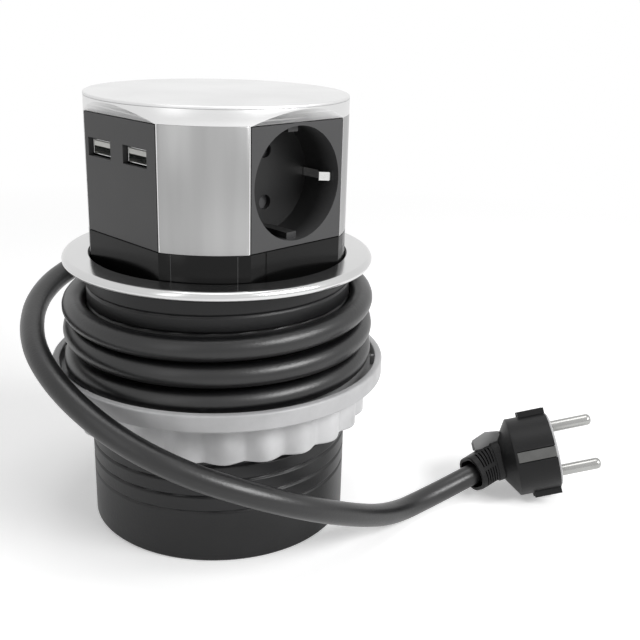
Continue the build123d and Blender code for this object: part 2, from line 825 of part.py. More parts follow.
def earth_clip(angle):
    """A strip behind the well, with a sprung finger on each side inside it."""
    side_plane = Plane(
        origin=(0, 0, well_height - clip_width / 2), x_dir=along(angle), z_dir=(0, 0, 1)
    )
    with BuildPart() as clip:
        for side in (-1, 1):
            with BuildSketch(side_plane):
                with BuildLine():
                    outer = side * clip_reach
                    inner = side * (clip_reach - clip_thickness)
                    bump = side * clip_bump
                    Polyline(
                        (outer, -clip_base_back),
                        (outer, -clip_tip + 2 * clip_bump_length),
                        (outer - bump, -clip_tip + clip_bump_length),
                        (outer, -clip_tip),
                        (inner, -clip_tip),
                        (inner - bump, -clip_tip + clip_bump_length),
                        (inner, -clip_tip + 2 * clip_bump_length),
                        (inner, -clip_base_back),
                        close=True,
                    )
                make_face()
            extrude(amount=clip_width)
        with BuildSketch(side_plane):
            with Locations((0, -clip_base_back - clip_thickness / 2)):
                Rectangle(2 * clip_reach, clip_thickness)
        extrude(amount=clip_width)
    return clip


def shutter(angle):
    """A turning blade that covers both pin holes at rest."""
    with BuildPart() as blade:
        with BuildSketch(facing(angle, cup_back - seat_gap - shutter_thickness, well_height)):
            SlotOverall(2 * shutter_reach, 2 * shutter_half_width, rotation=90)
            Circle(pivot_radius + shutter_bore_clearance, mode=Mode.SUBTRACT)
        extrude(amount=shutter_thickness)
    return blade


for number, angle in enumerate(tower_angles, start=1):
    finish(socket_front(angle), f"socket_front_{number}")
    finish(earth_clip(angle), f"earth_clip_{number}")
    finish(shutter(angle), f"shutter_{number}")


def bus_bar(height):
    """Three pin sleeves on one strip."""
    strip_bottom = height - sleeve_radius - bus_thickness + 4 * seat_gap
    with BuildPart() as bus:
        with BuildSketch(Plane.XY.offset(strip_bottom)):
            Rectangle(bus_width, 2 * sleeve_end - 2 * bus_width)
            with Locations(((sleeve_end - bus_width) / 2, 0)):
                Rectangle(sleeve_end - bus_width, bus_width)
        extrude(amount=bus_thickness)
        for angle in tower_angles:
            with BuildSketch(facing(angle, sleeve_start, height)):
                Circle(sleeve_radius)
            extrude(amount=sleeve_end - sleeve_start)
        for angle in tower_angles:
            with BuildSketch(facing(angle, sleeve_start, height)):
                Circle(sleeve_bore_radius)
                with Locations((0, sleeve_radius)):
                    Rectangle(pin_radius / 2, 2 * sleeve_radius)
            extrude(amount=sleeve_end - sleeve_start, mode=Mode.SUBTRACT)
    return bus


finish(bus_bar(live_height), "live_bus")
finish(bus_bar(neutral_height), "neutral_bus")


def carrier(bottom, top, groove_below, pocket_above):
    """An insulating slab, with half-round grooves below and the bus bar's pocket above."""
    half_channel = sleeve_radius + seat_gap
    with BuildPart() as slab:
        with BuildSketch(Plane.XY.offset(bottom)):
            Rectangle(2 * carrier_half, 2 * carrier_half)
            Circle(terminal_width / 4, mode=Mode.SUBTRACT)
        extrude(amount=top - bottom)
        for angle in tower_angles:
            if groove_below:
                with BuildSketch(facing(angle, 0, bottom)):
                    Circle(half_channel)
                extrude(amount=carrier_half + overrun, mode=Mode.SUBTRACT)
            if pocket_above:
                pocket = half_channel + bus_thickness
                with BuildSketch(facing(angle, 0, top - pocket / 2)):
                    Rectangle(2 * half_channel, pocket)
                extrude(amount=carrier_half + overrun, mode=Mode.SUBTRACT)
    return slab


carrier_bottom = face_bottom + chassis_thickness
carrier_top = face_top - chassis_thickness
finish(carrier(carrier_bottom, neutral_height, False, True), "carrier_lower")
finish(carrier(neutral_height, live_height, True, True), "carrier_middle")
finish(carrier(live_height, carrier_top, True, False), "carrier_upper")

# USB face on -X: front plate with posts, shells, tongues, board, converter and screws
usb_angle = 270
board_face = face_distance - seat_gap - shell_depth
ports = [(side * port_offset - port_shift, port_height - well_height) for side in (-1, 1)]
post_height = board_bottom + board_post_rise - well_height
posts = [(side * board_post_offset, post_height) for side in (-1, 1)]
with BuildPart() as usb_front:
    plate_height = face_top - face_bottom - 2 * running_gap
    plate_middle = face_bottom + running_gap + plate_height / 2
    with BuildSketch(facing(usb_angle, face_distance - plate_thickness, plate_middle)):
        Rectangle(2 * face_half_width, plate_height)
    extrude(amount=plate_thickness)
    with BuildSketch(facing(usb_angle, face_distance - plate_thickness - overrun, well_height)):
        with Locations(*ports):
            Rectangle(shell_width + 2 * port_margin, shell_height + 2 * port_margin)
    extrude(amount=plate_thickness + 2 * overrun, mode=Mode.SUBTRACT)
    with BuildSketch(facing(usb_angle, board_face, well_height)):
        with Locations(*posts):
            Circle(board_post_radius)
    extrude(amount=face_distance - plate_thickness / 2 - board_face)
    with BuildSketch(facing(usb_angle, board_face - overrun, well_height)):
        with Locations(*posts):
            Circle(screw_radius / 2 + screw_clearance)
    extrude(amount=shell_depth / 2 + overrun, mode=Mode.SUBTRACT)
finish(usb_front, "usb_front")

with BuildPart() as usb_shells:
    with BuildSketch(facing(usb_angle, board_face, well_height)):
        with Locations(*ports):
            Rectangle(shell_width, shell_height)
            Rectangle(shell_width - 2 * shell_wall, shell_height - 2 * shell_wall, mode=Mode.SUBTRACT)
    extrude(amount=shell_depth - port_recess)
finish(usb_shells, "usb_shells")

tongue_drop = shell_height / 2 - shell_wall - tongue_thickness / 2 - 2 * seat_gap
with BuildPart() as usb_tongues:
    with BuildSketch(facing(usb_angle, board_face, well_height)):
        with Locations(*[(x, y + tongue_drop) for x, y in ports]):
            Rectangle(tongue_width, tongue_thickness)
    extrude(amount=tongue_depth)
finish(usb_tongues, "usb_tongues")

board_middle = (board_bottom + board_top) / 2
with BuildPart() as usb_board:
    with BuildSketch(facing(usb_angle, board_face - board_thickness, board_middle)):
        Rectangle(2 * board_half_width, board_top - board_bottom)
        with Locations(*[(x, y + well_height - board_middle) for x, y in posts]):
            Circle(screw_radius / 2 + screw_clearance, mode=Mode.SUBTRACT)
    extrude(amount=board_thickness)
finish(usb_board, "usb_board")

with BuildPart() as usb_converter:
    with BuildSketch(facing(usb_angle, board_face - board_thickness - converter_depth, well_height)):
        Rectangle(converter_width, converter_height)
    extrude(amount=converter_depth)
finish(usb_converter, "usb_converter")

with BuildPart() as usb_screws:
    screw_seat = board_face - board_thickness
    with BuildSketch(facing(usb_angle, screw_seat - screw_head_height / 2, well_height)):
        with Locations(*posts):
            Circle(screw_head_radius / 2)
    extrude(amount=screw_head_height / 2)
    with BuildSketch(facing(usb_angle, screw_seat, well_height)):
        with Locations(*posts):
            Circle(screw_radius / 2)
    extrude(amount=board_thickness + shell_depth / 3)
finish(usb_screws, "usb_screws")

# Plinth: the black foot of the tower, four flats and four screw bosses
with BuildPart() as plinth:
    with BuildSketch(Plane.XY.offset(plinth_bottom)):
        Circle(head_radius)
        Rectangle(2 * face_distance, 2 * face_distance, mode=Mode.INTERSECT)
    extrude(amount=face_bottom - plinth_bottom)
    with BuildSketch(Plane.XY.offset(plinth_bottom)):
        Circle(head_radius - plinth_wall)
        Rectangle(
            2 * (face_distance - plinth_wall),
            2 * (face_distance - plinth_wall),
            mode=Mode.INTERSECT,
        )
        with Locations(*corners):
            Circle(boss_radius, mode=Mode.SUBTRACT)
    extrude(amount=face_bottom - plinth_wall - plinth_bottom, mode=Mode.SUBTRACT)
    with Locations(*[(x, y, plinth_bottom) for x, y in corners]):
        Cylinder(screw_radius + screw_clearance, 2 * head_radius, mode=Mode.SUBTRACT)
    with Locations((0, 0, face_bottom)):
        Cylinder(terminal_width / 2, 3 * plinth_wall, mode=Mode.SUBTRACT)
finish(plinth, "plinth")

# Carriage base: guide keys in the tube's grooves, the spring's upper seat and the lead's anchor
base_radius = bore_radius - running_gap
with BuildPart() as carriage_base:
    with BuildSketch(Plane.XY.offset(base_bottom)):
        Circle(base_radius)
        for angle in key_angles:
            with Locations(place(angle, (bore_radius + key_depth - running_gap) / 2, 0)):
                Rectangle(
                    key_width,
                    bore_radius + key_depth - running_gap,
                    rotation=angle,
                )
        Circle(base_radius - skirt_wall, mode=Mode.SUBTRACT)
    extrude(amount=plinth_bottom - base_bottom)
    with BuildSketch(Plane.XY.offset(base_plate_bottom)):
        Circle(base_radius - skirt_wall / 2)
    extrude(amount=base_plate_thickness)
    with BuildSketch(Plane.XY.offset(base_plate_bottom - spring_seat_height)):
        Circle(spring_seat_radius)
    extrude(amount=spring_seat_height)
    anchor_angle = gland_angle + clamp_turn + anchor_turn
    with BuildSketch(
        Plane(
            origin=(0, 0, base_plate_bottom - anchor_depth),
            x_dir=along(anchor_angle),
            z_dir=(0, 0, 1),
        )
    ):
        with Locations((0, -inner_lead_turn_radius)):
            Rectangle(2 * anchor_half_width, 4 * inner_lead_radius)
    extrude(amount=anchor_depth)
    with Locations((0, 0, base_plate_bottom)):
        Cylinder(boss_radius, 4 * head_radius, mode=Mode.SUBTRACT)
    with Locations(*[(x, y, plinth_bottom) for x, y in corners]):
        Cylinder(screw_radius + screw_clearance, 4 * base_plate_thickness, mode=Mode.SUBTRACT)
finish(carriage_base, "carriage_base")

with BuildPart() as tower_screws:
    with BuildSketch(Plane.XY.offset(base_plate_bottom - screw_head_height)):
        with Locations(*corners):
            Circle(screw_head_radius)
    extrude(amount=screw_head_height)
    with BuildSketch(Plane.XY.offset(base_plate_bottom)):
        with Locations(*corners):
            Circle(screw_radius)
    extrude(amount=tower_screw_top - base_plate_bottom)
finish(tower_screws, "tower_screws")

with BuildPart() as terminal_block:
    with BuildSketch(Plane.XY.offset(plinth_bottom)):
        Rectangle(terminal_length, terminal_width)
        Circle(boss_radius - overrun, mode=Mode.SUBTRACT)
    extrude(amount=terminal_height)
    block_top = plinth_bottom + terminal_height
    with Locations(*[(step * terminal_pitch, terminal_width / 3, block_top) for step in (-1, 0, 1)]):
        Cylinder(terminal_screw_radius, terminal_height, mode=Mode.SUBTRACT)
finish(terminal_block, "terminal_block")

# Plug, leaning on its rim's back edge and on the lead, and rolled a little
heading = Vector(cos(radians(plug_heading)), sin(radians(plug_heading)), 0)
plug_way = heading * cos(radians(plug_tilt)) + Vector(0, 0, sin(radians(plug_tilt)))
level_side = Vector(0, 0, 1).cross(heading)
level_up = plug_way.cross(level_side)
plug_side = level_side * cos(radians(plug_roll)) - level_up * sin(radians(plug_roll))
plug_front = Vector(*plug_front_place)
plug_back = plug_front - plug_way * plug_depth
mouth = lead_points[-1]
mouth_way = (lead_points[-1] - lead_points[-2]).normalized()
mouth_side = (plug_side - mouth_way * plug_side.dot(mouth_way)).normalized()


def plug_plane(distance):
    """A plane across the plug's axis, at this distance in front of its face, with Y up."""
    return Plane(origin=plug_front + plug_way * distance, x_dir=plug_side, z_dir=plug_way)


with BuildPart() as plug_body:
    with BuildSketch(plug_plane(-plug_rim_depth)):
        Ellipse(plug_half_width, plug_half_height)
    extrude(amount=plug_rim_depth)
    with BuildSketch(plug_plane(-plug_depth)):
        Ellipse(plug_back_half_width, plug_back_half_height)
    with BuildSketch(plug_plane(-plug_rim_depth)):
        Ellipse(plug_half_width, plug_half_height)
    loft()
    with BuildSketch(plug_plane(-plug_guide_length)):
        Rectangle(plug_guide_width, 2 * plug_guide_reach)
    extrude(amount=plug_guide_length)
    with BuildSketch(plug_plane(overrun)):
        slot_height = plug_guide_reach + overrun - plug_slot_floor
        for side in (-1, 1):
            with Locations((0, side * (plug_slot_floor + slot_height / 2))):
                Rectangle(plug_slot_width, slot_height)
        recess = earth_strip_recess + earth_strip_thickness
        for side in (-1, 1):
            with Locations((side * (plug_half_width - recess / 2 + overrun / 2), 0)):
                Rectangle(recess + overrun, plug_slot_width)
    extrude(amount=-plug_slot_length - overrun, mode=Mode.SUBTRACT)
    with BuildSketch(plug_plane(overrun)):
        with Locations((0, pin_offset), (0, -pin_offset)):
            Circle(plug_pin_root_radius)
    extrude(amount=-plug_slot_length - overrun, mode=Mode.SUBTRACT)
finish(plug_body, "plug_body")

with BuildPart() as plug_pins:
    with BuildSketch(plug_plane(-plug_slot_length)):
        with Locations((0, pin_offset), (0, -pin_offset)):
            Circle(plug_pin_root_radius)
    extrude(amount=plug_slot_length)
    with BuildSketch(plug_plane(0)):
        with Locations((0, pin_offset), (0, -pin_offset)):
            Circle(pin_radius)
    extrude(amount=plug_pin_length)
    chamfer(plug_pins.edges().group_by(Axis(plug_front, plug_way))[-1], plug_pin_tip)
finish(plug_pins, "plug_pins")

strip_seat = plug_half_width - earth_strip_recess - earth_strip_thickness
with BuildPart() as plug_earth_strips:
    with BuildSketch(plug_plane(-plug_slot_length)):
        for side in (-1, 1):
            with Locations((side * (strip_seat + earth_strip_thickness / 2), 0)):
                Rectangle(earth_strip_thickness, earth_strip_width)
    extrude(amount=plug_slot_length)
finish(plug_earth_strips, "plug_earth_strips")

with BuildPart() as plug_relief:
    with BuildSketch(Plane(origin=mouth, x_dir=mouth_side, z_dir=mouth_way)):
        RectangleRounded(mouth_width, mouth_height, mouth_rounding)
    with BuildSketch(Plane(origin=plug_back, x_dir=plug_side, z_dir=plug_way)):
        RectangleRounded(relief_back_width, relief_back_height, mouth_rounding)
    loft()
finish(plug_relief, "plug_relief")
print("plug's lowest point", round(plug_body.part.bounding_box().min.Z, 2))
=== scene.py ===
import json
import math

import bpy
from mathutils import Matrix, Vector


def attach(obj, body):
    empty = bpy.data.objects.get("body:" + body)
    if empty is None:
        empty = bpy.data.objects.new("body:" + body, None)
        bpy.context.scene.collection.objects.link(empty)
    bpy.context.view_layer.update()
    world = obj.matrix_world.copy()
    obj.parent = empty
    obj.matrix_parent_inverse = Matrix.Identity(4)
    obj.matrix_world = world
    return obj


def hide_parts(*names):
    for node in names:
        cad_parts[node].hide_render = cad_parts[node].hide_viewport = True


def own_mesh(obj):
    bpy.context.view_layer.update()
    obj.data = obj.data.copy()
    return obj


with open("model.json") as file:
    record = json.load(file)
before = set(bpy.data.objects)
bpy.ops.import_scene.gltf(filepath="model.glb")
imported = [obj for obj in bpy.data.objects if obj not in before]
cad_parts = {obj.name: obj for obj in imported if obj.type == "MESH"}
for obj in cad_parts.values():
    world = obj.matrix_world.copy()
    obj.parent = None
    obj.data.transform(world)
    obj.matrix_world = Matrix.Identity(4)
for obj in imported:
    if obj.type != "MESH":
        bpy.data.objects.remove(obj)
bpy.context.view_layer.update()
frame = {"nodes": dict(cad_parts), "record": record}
nodes = frame["nodes"]

# Lengths are in metres and angles in degrees, apart from the lens and sensor in millimetres

# Camera, in the shared frame
CAMERA_PLACE = (-0.2313, -0.2865, 0.2067)
CAMERA_HEADING = 45.23
CAMERA_PITCH = 19.04
CAMERA_ROLL = 1.7
CAMERA_LENS = 54.14
SENSOR_WIDTH = 36.0
CLIP_START = 0.01

# Sizes of the object
TUBE_RADIUS = 0.0515
BORE_RADIUS = 0.0497
TUBE_TOP = 0.1081
TUBE_FOOT_BEVEL = 0.0008
FLANGE_RADIUS = 0.060
FLANGE_OPENING = 0.050
FLANGE_UNDERSIDE = 0.1055
FLANGE_TOP = 0.1093
FLANGE_SLIP = 0.0001
THREAD_PITCH = 0.0064
THREAD_BOTTOM = 0.0170
THREAD_TOP = 0.1015
THREAD_DEPTH = 0.0009
THREAD_HALF_WIDTH = 0.0008
HEAD_RADIUS = 0.0492
FACE_DISTANCE = 0.0442
FACE_BOTTOM = 0.1191
LID_BOTTOM = 0.1683
LID_TOP = 0.1694
RING_BORE = 0.0518
RIM_RADIUS = 0.0659
RIM_WALL = 0.0030
RIM_TOP = 0.0670
DISH_BOTTOM = 0.0604
DISH_FLOOR = 0.0622
DISH_RIBS = 8
RIB_DEPTH = 0.0015
RIB_WIDTH = 0.0016
RIB_BITE = 0.0005
RIB_CORNER = 0.0004
RIB_DROP = 0.001
RIB_TIP = 0.0003
RIB_TIP_SHARE = 0.82
NUT_RADIUS = 0.0594
NUT_BOTTOM = 0.0442
NUT_TOP = 0.0603
NUT_TOP_BEVEL = 0.0004
NUT_EDGE = 0.0012
NUT_LOBES = 24
NUT_FLUTE = 0.0026
FLUTE_POWER = 1.4

# Lines on the head: painted highlights on the panel edges, plinth seams and the one seam on its
# front flat
PANEL_SPREAD = 18.57
PANEL_HIGHLIGHT_ANGLE = 0.42
PANEL_HIGHLIGHT_LIFT = 0.00006
SEAM_SPREAD = 13.6
SEAM_HALF_ANGLE = 0.12
SEAM_LIFT = 0.00004
SEAM_SINK = 0.003
LINE_GAP = 0.0002
STRIP_DEPTH = 0.0004
BAND_HEIGHT = 0.0054
FRONT_SEAM_SIDES = (-0.0148, -0.0145)
FRONT_SEAM_DEPTH = 0.0003

# Cord route, the same points as the solids have
CORD_DIAMETER = 0.009
GLAND_ANGLE = 103.38
GLAND_HEIGHT = 0.012
GLAND_REACH = 0.075
RELIEF_RISE = 41.83
RELIEF_LENGTH = 0.026
COIL_RADIUS = 0.0565
COIL_START_ANGLE = 211.09
COIL_BASE = 0.069
COIL_STEPS = 6
COIL_HEIGHT_SHARES = (0, -0.12, 0.13, 0.83, 1.22, 1.0, 1.22, 1.89, 2.29, 2.07, 2.44, 2.94)
COIL_SLOPE_SHARES = (
    -0.115, 0.01, 0.05, 0.05, -0.03, 0, 0.045, 0.05, -0.03, 0.01, 0.045, 0.03
)
RISER_CORNERS = (
    (0.0654, 0.0493, 0.0414),
    (0.0559, 0.0607, 0.0536),
    (0.0413, 0.0678, 0.0638),
    (0.0234, 0.0698, 0.0704),
    (-0.0006, 0.0656, 0.0728),
)
LEAD_CORNERS = (
    (0.0339, 0.0532, 0.0963),
    (0.0171, 0.0665, 0.0954),
    (-0.0051, 0.0725, 0.0932),
    (-0.0285, 0.0685, 0.0900),
    (-0.0481, 0.0552, 0.0865),
    (-0.0625, 0.0374, 0.0825),
    (-0.0726, 0.0160, 0.0775),
    (-0.0751, -0.0080, 0.0695),
    (-0.0689, -0.0308, 0.0590),
    (-0.0558, -0.0504, 0.0493),
    (-0.0375, -0.0642, 0.0402),
    (-0.0175, -0.0710, 0.0304),
    (0.0030, -0.0715, 0.0202),
    (0.0225, -0.0695, 0.0110),
    (0.0395, -0.0668, 0.0053),
    (0.0540, -0.0665, 0.0046),
    (0.0670, -0.0685, 0.0062),
    (0.0800, -0.0725, 0.0100),
)
CORD_TUCK = 0.006

# Gland behind the tube. A rib with its groove goes by (drop in radius, reach past its start)
GLAND_ROOT = 0.0065
GLAND_TIP = 0.0053
GLAND_TIP_BEVEL = 0.0006
GLAND_TIP_EDGE = 0.0008
GLAND_RIBS = 7
GLAND_RIB_PITCH = 0.0033
GLAND_FIRST_RIB = 0.0012
GLAND_RIB = ((0, 0), (0, 0.0018), (0.0009, 0.0021), (0.0009, 0.0027), (0, 0.0030))
STUB_PROFILE = ((0.0060, -GLAND_ROOT), (0.0060, -0.0004), (0.0055, 0.0))

# Plug, with the same lean as the solids have
PLUG_HEADING = -46.0
PLUG_TILT = 15.0
PLUG_ROLL = 25.0
PLUG_FRONT = Vector((0.1070, -0.0940, 0.02115))
PLUG_DEPTH = 0.022
PIN_OFFSET = 0.0095
PIN_RADIUS = 0.0024
PIN_LENGTH = 0.019
PIN_ROOT = 0.001
PIN_START = 0.0002
PIN_FOOT_BEVEL = 0.0003
PIN_TIP = 0.0019
PIN_TIP_STEP = 11
COLLAR_PROFILE = ((0.0036, 0.0), (0.0036, 0.0012), (0.0032, 0.0016), (0.0024, 0.0016))
COLLAR_FOOT = 0.0003

# Plate at the plug's front: half width, half height and place ahead of the front
PLATE_RINGS = ((0.0172, 0.0156, -0.0004), (0.0172, 0.0156, 0.0006), (0.0167, 0.0151, 0.0010))

# Bar between the pins: inset and place ahead of the front
BAR_RINGS = ((0, 0.0008), (0, 0.0017), (0.0005, 0.0022))
BAR_HALF_WIDTH = 0.0056
BAR_HALF_HEIGHT = 0.0046
BAR_CORNER = 0.0016

# Tab on top of the plug: place ahead of the front, low side, high side and half width
TAB_RINGS = (
    (-0.0330, 0.0062, 0.0092, 0.0030),
    (-0.0322, 0.0058, 0.0104, 0.0037),
    (-0.0262, 0.0058, 0.0128, 0.0040),
    (-0.0205, 0.0058, 0.0122, 0.0040),
)
TAB_CORNER = 0.0007

# Sleeve round the cord at the plug. Half width and half height at the plug's back and at the
# mouth, then the rings inside and outside by their share of the way to the mouth and growth
SLEEVE_BACK = (0.0110, 0.0076)
SLEEVE_MOUTH = (0.0090, 0.0075)
SLEEVE_FLAT = 0.0008
SLEEVE_STEPS = 16
SLEEVE_HOLLOW = (
    (0.45, -0.0014), (0.985, -0.0014), (1.0, -0.0009), (1.0, -0.0004), (0.975, 0.0)
)
SLEEVE_COLLAR = (
    (0.25, 0.0), (0.245, 0.0006), (0.03, 0.0006), (0.02, 0.0001), (-0.04, 0.0001)
)

# Slots in the sleeve, along it in shares of the way to the mouth
RELIEF_SLOTS = 5
FIRST_SLOT = 0.80
SLOT_PITCH = 0.105
SLOT_LENGTH = 0.044
SLOT_RAMP = 0.002

# The part of the sleeve's section that a slot pulls in, in shares of its half height and half
# width, and how far it goes in and towards the middle
SLOT_LOW_SHARE = 0.14
SLOT_HIGH_SHARE = 0.93
SLOT_SIDE_SHARE = 0.3
SLOT_DEPTH = 0.0013
SLOT_LEAN = 0.0005

# How finely round shapes are divided
SMOOTH_ANGLE = 35.0
ROUND_SEGMENTS = 224
TUBE_SEGMENTS = 192
TUBE_ROW = 0.00025
NUT_LOBE_STEPS = 16
PLATE_SEGMENTS = 96
GLAND_SEGMENTS = 64

# Small round edges of the nodes, and a node whose look is not its slot's
WELD_DISTANCE = 0.000001
EDGE_ANGLE = 40.0
EDGE_WIDTH = 0.00025
FINE_EDGES = {
    "lift_spring": 0.00005,
    "usb_shells": 0.0001,
    "plug_body": 0.0005,
    "plinth": 0.0004,
    "cap_ring": 0.00035,
}
NODE_LOOKS = {"plug_earth_strips": "strip_dull"}

# Depth of fine lines in metal, and how far behind the face plates' front the painted shade in the
# wells starts and is darkest
LINE_DEPTH = 0.000012
WELL_SHADE_START = 0.0003
WELL_SHADE_DARKEST = 0.009

# Studio. A light has a name, a place, a width and height, and a power in watts
LIGHT_AIM = (0.0, 0.0, 0.09)
LIGHTS = (
    ("key_light", (0.25, -0.93, 0.72), (0.70, 0.42), 10.5),
    ("fill_light", (-0.9, -0.25, 0.55), (0.25, 0.9), 0.7),
    ("top_light", (0.05, 0.05, 1.0), (0.5, 0.5), 2.1),
)
WORLD_LIGHT = 0.28
FLOOR_REACH = 3.0
FLOOR_LIFT = 0.36
FLOOR_FADE = (0.28, 0.70)


def place(angle, radius, height):
    """A point at an angle from -Y towards +X."""
    turn = math.radians(angle)
    return Vector((radius * math.sin(turn), -radius * math.cos(turn), height))


def plug_axes():
    """Across the plug, from its lower pin to its upper one, and out along its pins."""
    heading = math.radians(PLUG_HEADING)
    tilt = math.radians(PLUG_TILT)
    roll = math.radians(PLUG_ROLL)
    level_way = Vector((math.cos(heading), math.sin(heading), 0.0))
    way = level_way * math.cos(tilt) + Vector((0.0, 0.0, math.sin(tilt)))
    level_side = Vector((-math.sin(heading), math.cos(heading), 0.0))
    side = level_side * math.cos(roll) - way.cross(level_side) * math.sin(roll)
    return side, way.cross(side), way


plug_side, plug_up, plug_way = plug_axes()


def plug_point(across, up, ahead):
    """A point in the plug's own axes, ahead of its front face."""
    return PLUG_FRONT + plug_side * across + plug_up * up + plug_way * ahead


# Camera
def make_camera():
    heading = math.radians(CAMERA_HEADING)
    pitch = math.radians(CAMERA_PITCH)
    roll = math.radians(CAMERA_ROLL)
    forward = Vector((
        math.sin(heading) * math.cos(pitch),
        math.cos(heading) * math.cos(pitch),
        -math.sin(pitch),
    ))
    level = Vector((math.cos(heading), -math.sin(heading), 0.0))
    rise = level.cross(forward)
    side = level * math.cos(roll) + rise * math.sin(roll)
    top = rise * math.cos(roll) - level * math.sin(roll)
    turn = Matrix((side, top, -forward)).transposed().to_4x4()
    data = bpy.data.cameras.new("camera")
    data.lens = CAMERA_LENS
    data.sensor_width = SENSOR_WIDTH
    data.clip_start = CLIP_START
    camera = bpy.data.objects.new("camera", data)
    camera.matrix_world = Matrix.Translation(CAMERA_PLACE) @ turn
    bpy.context.scene.collection.objects.link(camera)
    bpy.context.scene.camera = camera


# Mesh helpers
def add_object(name, points, faces, smooth_angle=SMOOTH_ANGLE):
    mesh = bpy.data.meshes.new(name)
    mesh.from_pydata([tuple(point) for point in points], [], faces)
    mesh.validate()
    mesh.shade_smooth()
    mesh.set_sharp_from_angle(angle=math.radians(smooth_angle))
    piece = bpy.data.objects.new(name, mesh)
    bpy.context.scene.collection.objects.link(piece)
    return piece


def angles(count):
    """Even steps of one full turn, in radians."""
    return [2 * math.pi * index / count for index in range(count)]


def round_corners(corners, steps=5):
    """The closed outline of (x, y, radius) with each corner rounded by its own radius."""
    rounded = []
    outline = [Vector(corner[:2]) for corner in corners]
    for index, (*_, radius) in enumerate(corners):
        corner = outline[index]
        if radius == 0:
            rounded.append(corner)
            continue
        before = (outline[index - 1] - corner).normalized()
        after = (outline[(index + 1) % len(outline)] - corner).normalized()
        half = before.angle(after) / 2
        middle = corner + (before + after).normalized() * (radius / math.sin(half))
        first = corner + before * (radius / math.tan(half)) - middle
        last = corner + after * (radius / math.tan(half)) - middle
        span = first.angle(last)
        for step in range(steps + 1):
            share = step / steps
            swing = first * math.sin((1 - share) * span) + last * math.sin(share * span)
            rounded.append(middle + swing / math.sin(span))
    return rounded


def lathe(name, outline):
    """Turns a closed outline of (radius, height) round Z."""
    rows = len(outline)
    points = []
    faces = []
    for turn in angles(ROUND_SEGMENTS):
        for radius, height in outline:
            points.append((radius * math.cos(turn), radius * math.sin(turn), height))
    for segment in range(ROUND_SEGMENTS):
        here = segment * rows
        there = (segment + 1) % ROUND_SEGMENTS * rows
        for row in range(rows):
            other = (row + 1) % rows
            faces.append((here + row, there + row, there + other, here + other))
    return add_object(name, points, faces)


def stack(name, rings, closed_ends=True, smooth_angle=SMOOTH_ANGLE):
    """Joins rings of the same number of points, with flat ends."""
    points = [point for ring in rings for point in ring]
    count = len(rings[0])
    faces = []
    for level in range(len(rings) - 1):
        low = level * count
        high = low + count
        for index in range(count):
            other = (index + 1) % count
            faces.append((low + index, low + other, high + other, high + index))
    if closed_ends:
        faces.append(tuple(reversed(range(count))))
        faces.append(tuple(range(len(points) - count, len(points))))
    return add_object(name, points, faces, smooth_angle)


def level_ring(radii, height):
    """A level ring round Z, with one point to each radius."""
    return [
        Vector((radius * math.cos(turn), radius * math.sin(turn), height))
        for turn, radius in zip(angles(len(radii)), radii)
    ]


def circle(radius, height, segments):
    return level_ring([radius] * segments, height)


def rounded_ring(centre, across, up, half_width, half_height, radius, steps=5):
    """A rounded rectangle, counter-clockwise round across x up."""
    corners = [
        (half_width, half_height, radius),
        (-half_width, half_height, radius),
        (-half_width, -half_height, radius),
        (half_width, -half_height, radius),
    ]
    return [centre + across * x + up * y for x, y in round_corners(corners, steps)]


def turned(name, foot, way, profile, segments=48):
    """Turns an open profile of (radius, reach) round an axis that leaves foot along way."""
    across = way.orthogonal().normalized()
    up = way.cross(across)
    rings = []
    for radius, reach in profile:
        rings.append([
            foot + way * reach + (across * math.cos(turn) + up * math.sin(turn)) * radius
            for turn in angles(segments)
        ])
    return stack(name, rings)


def soften_edges(piece, width):
    """Small round edges on a solid, which catch the light."""
    weld = piece.modifiers.new("weld", "WELD")
    weld.merge_threshold = WELD_DISTANCE
    bevel = piece.modifiers.new("round_edges", "BEVEL")
    bevel.width = width
    bevel.segments = 2
    bevel.limit_method = "ANGLE"
    bevel.angle_limit = math.radians(EDGE_ANGLE)


# Materials
def socket_name(word):
    """The input that a keyword stands for, such as From Min for From_Min."""
    return word.replace("_", " ").title().replace("Ior", "IOR")


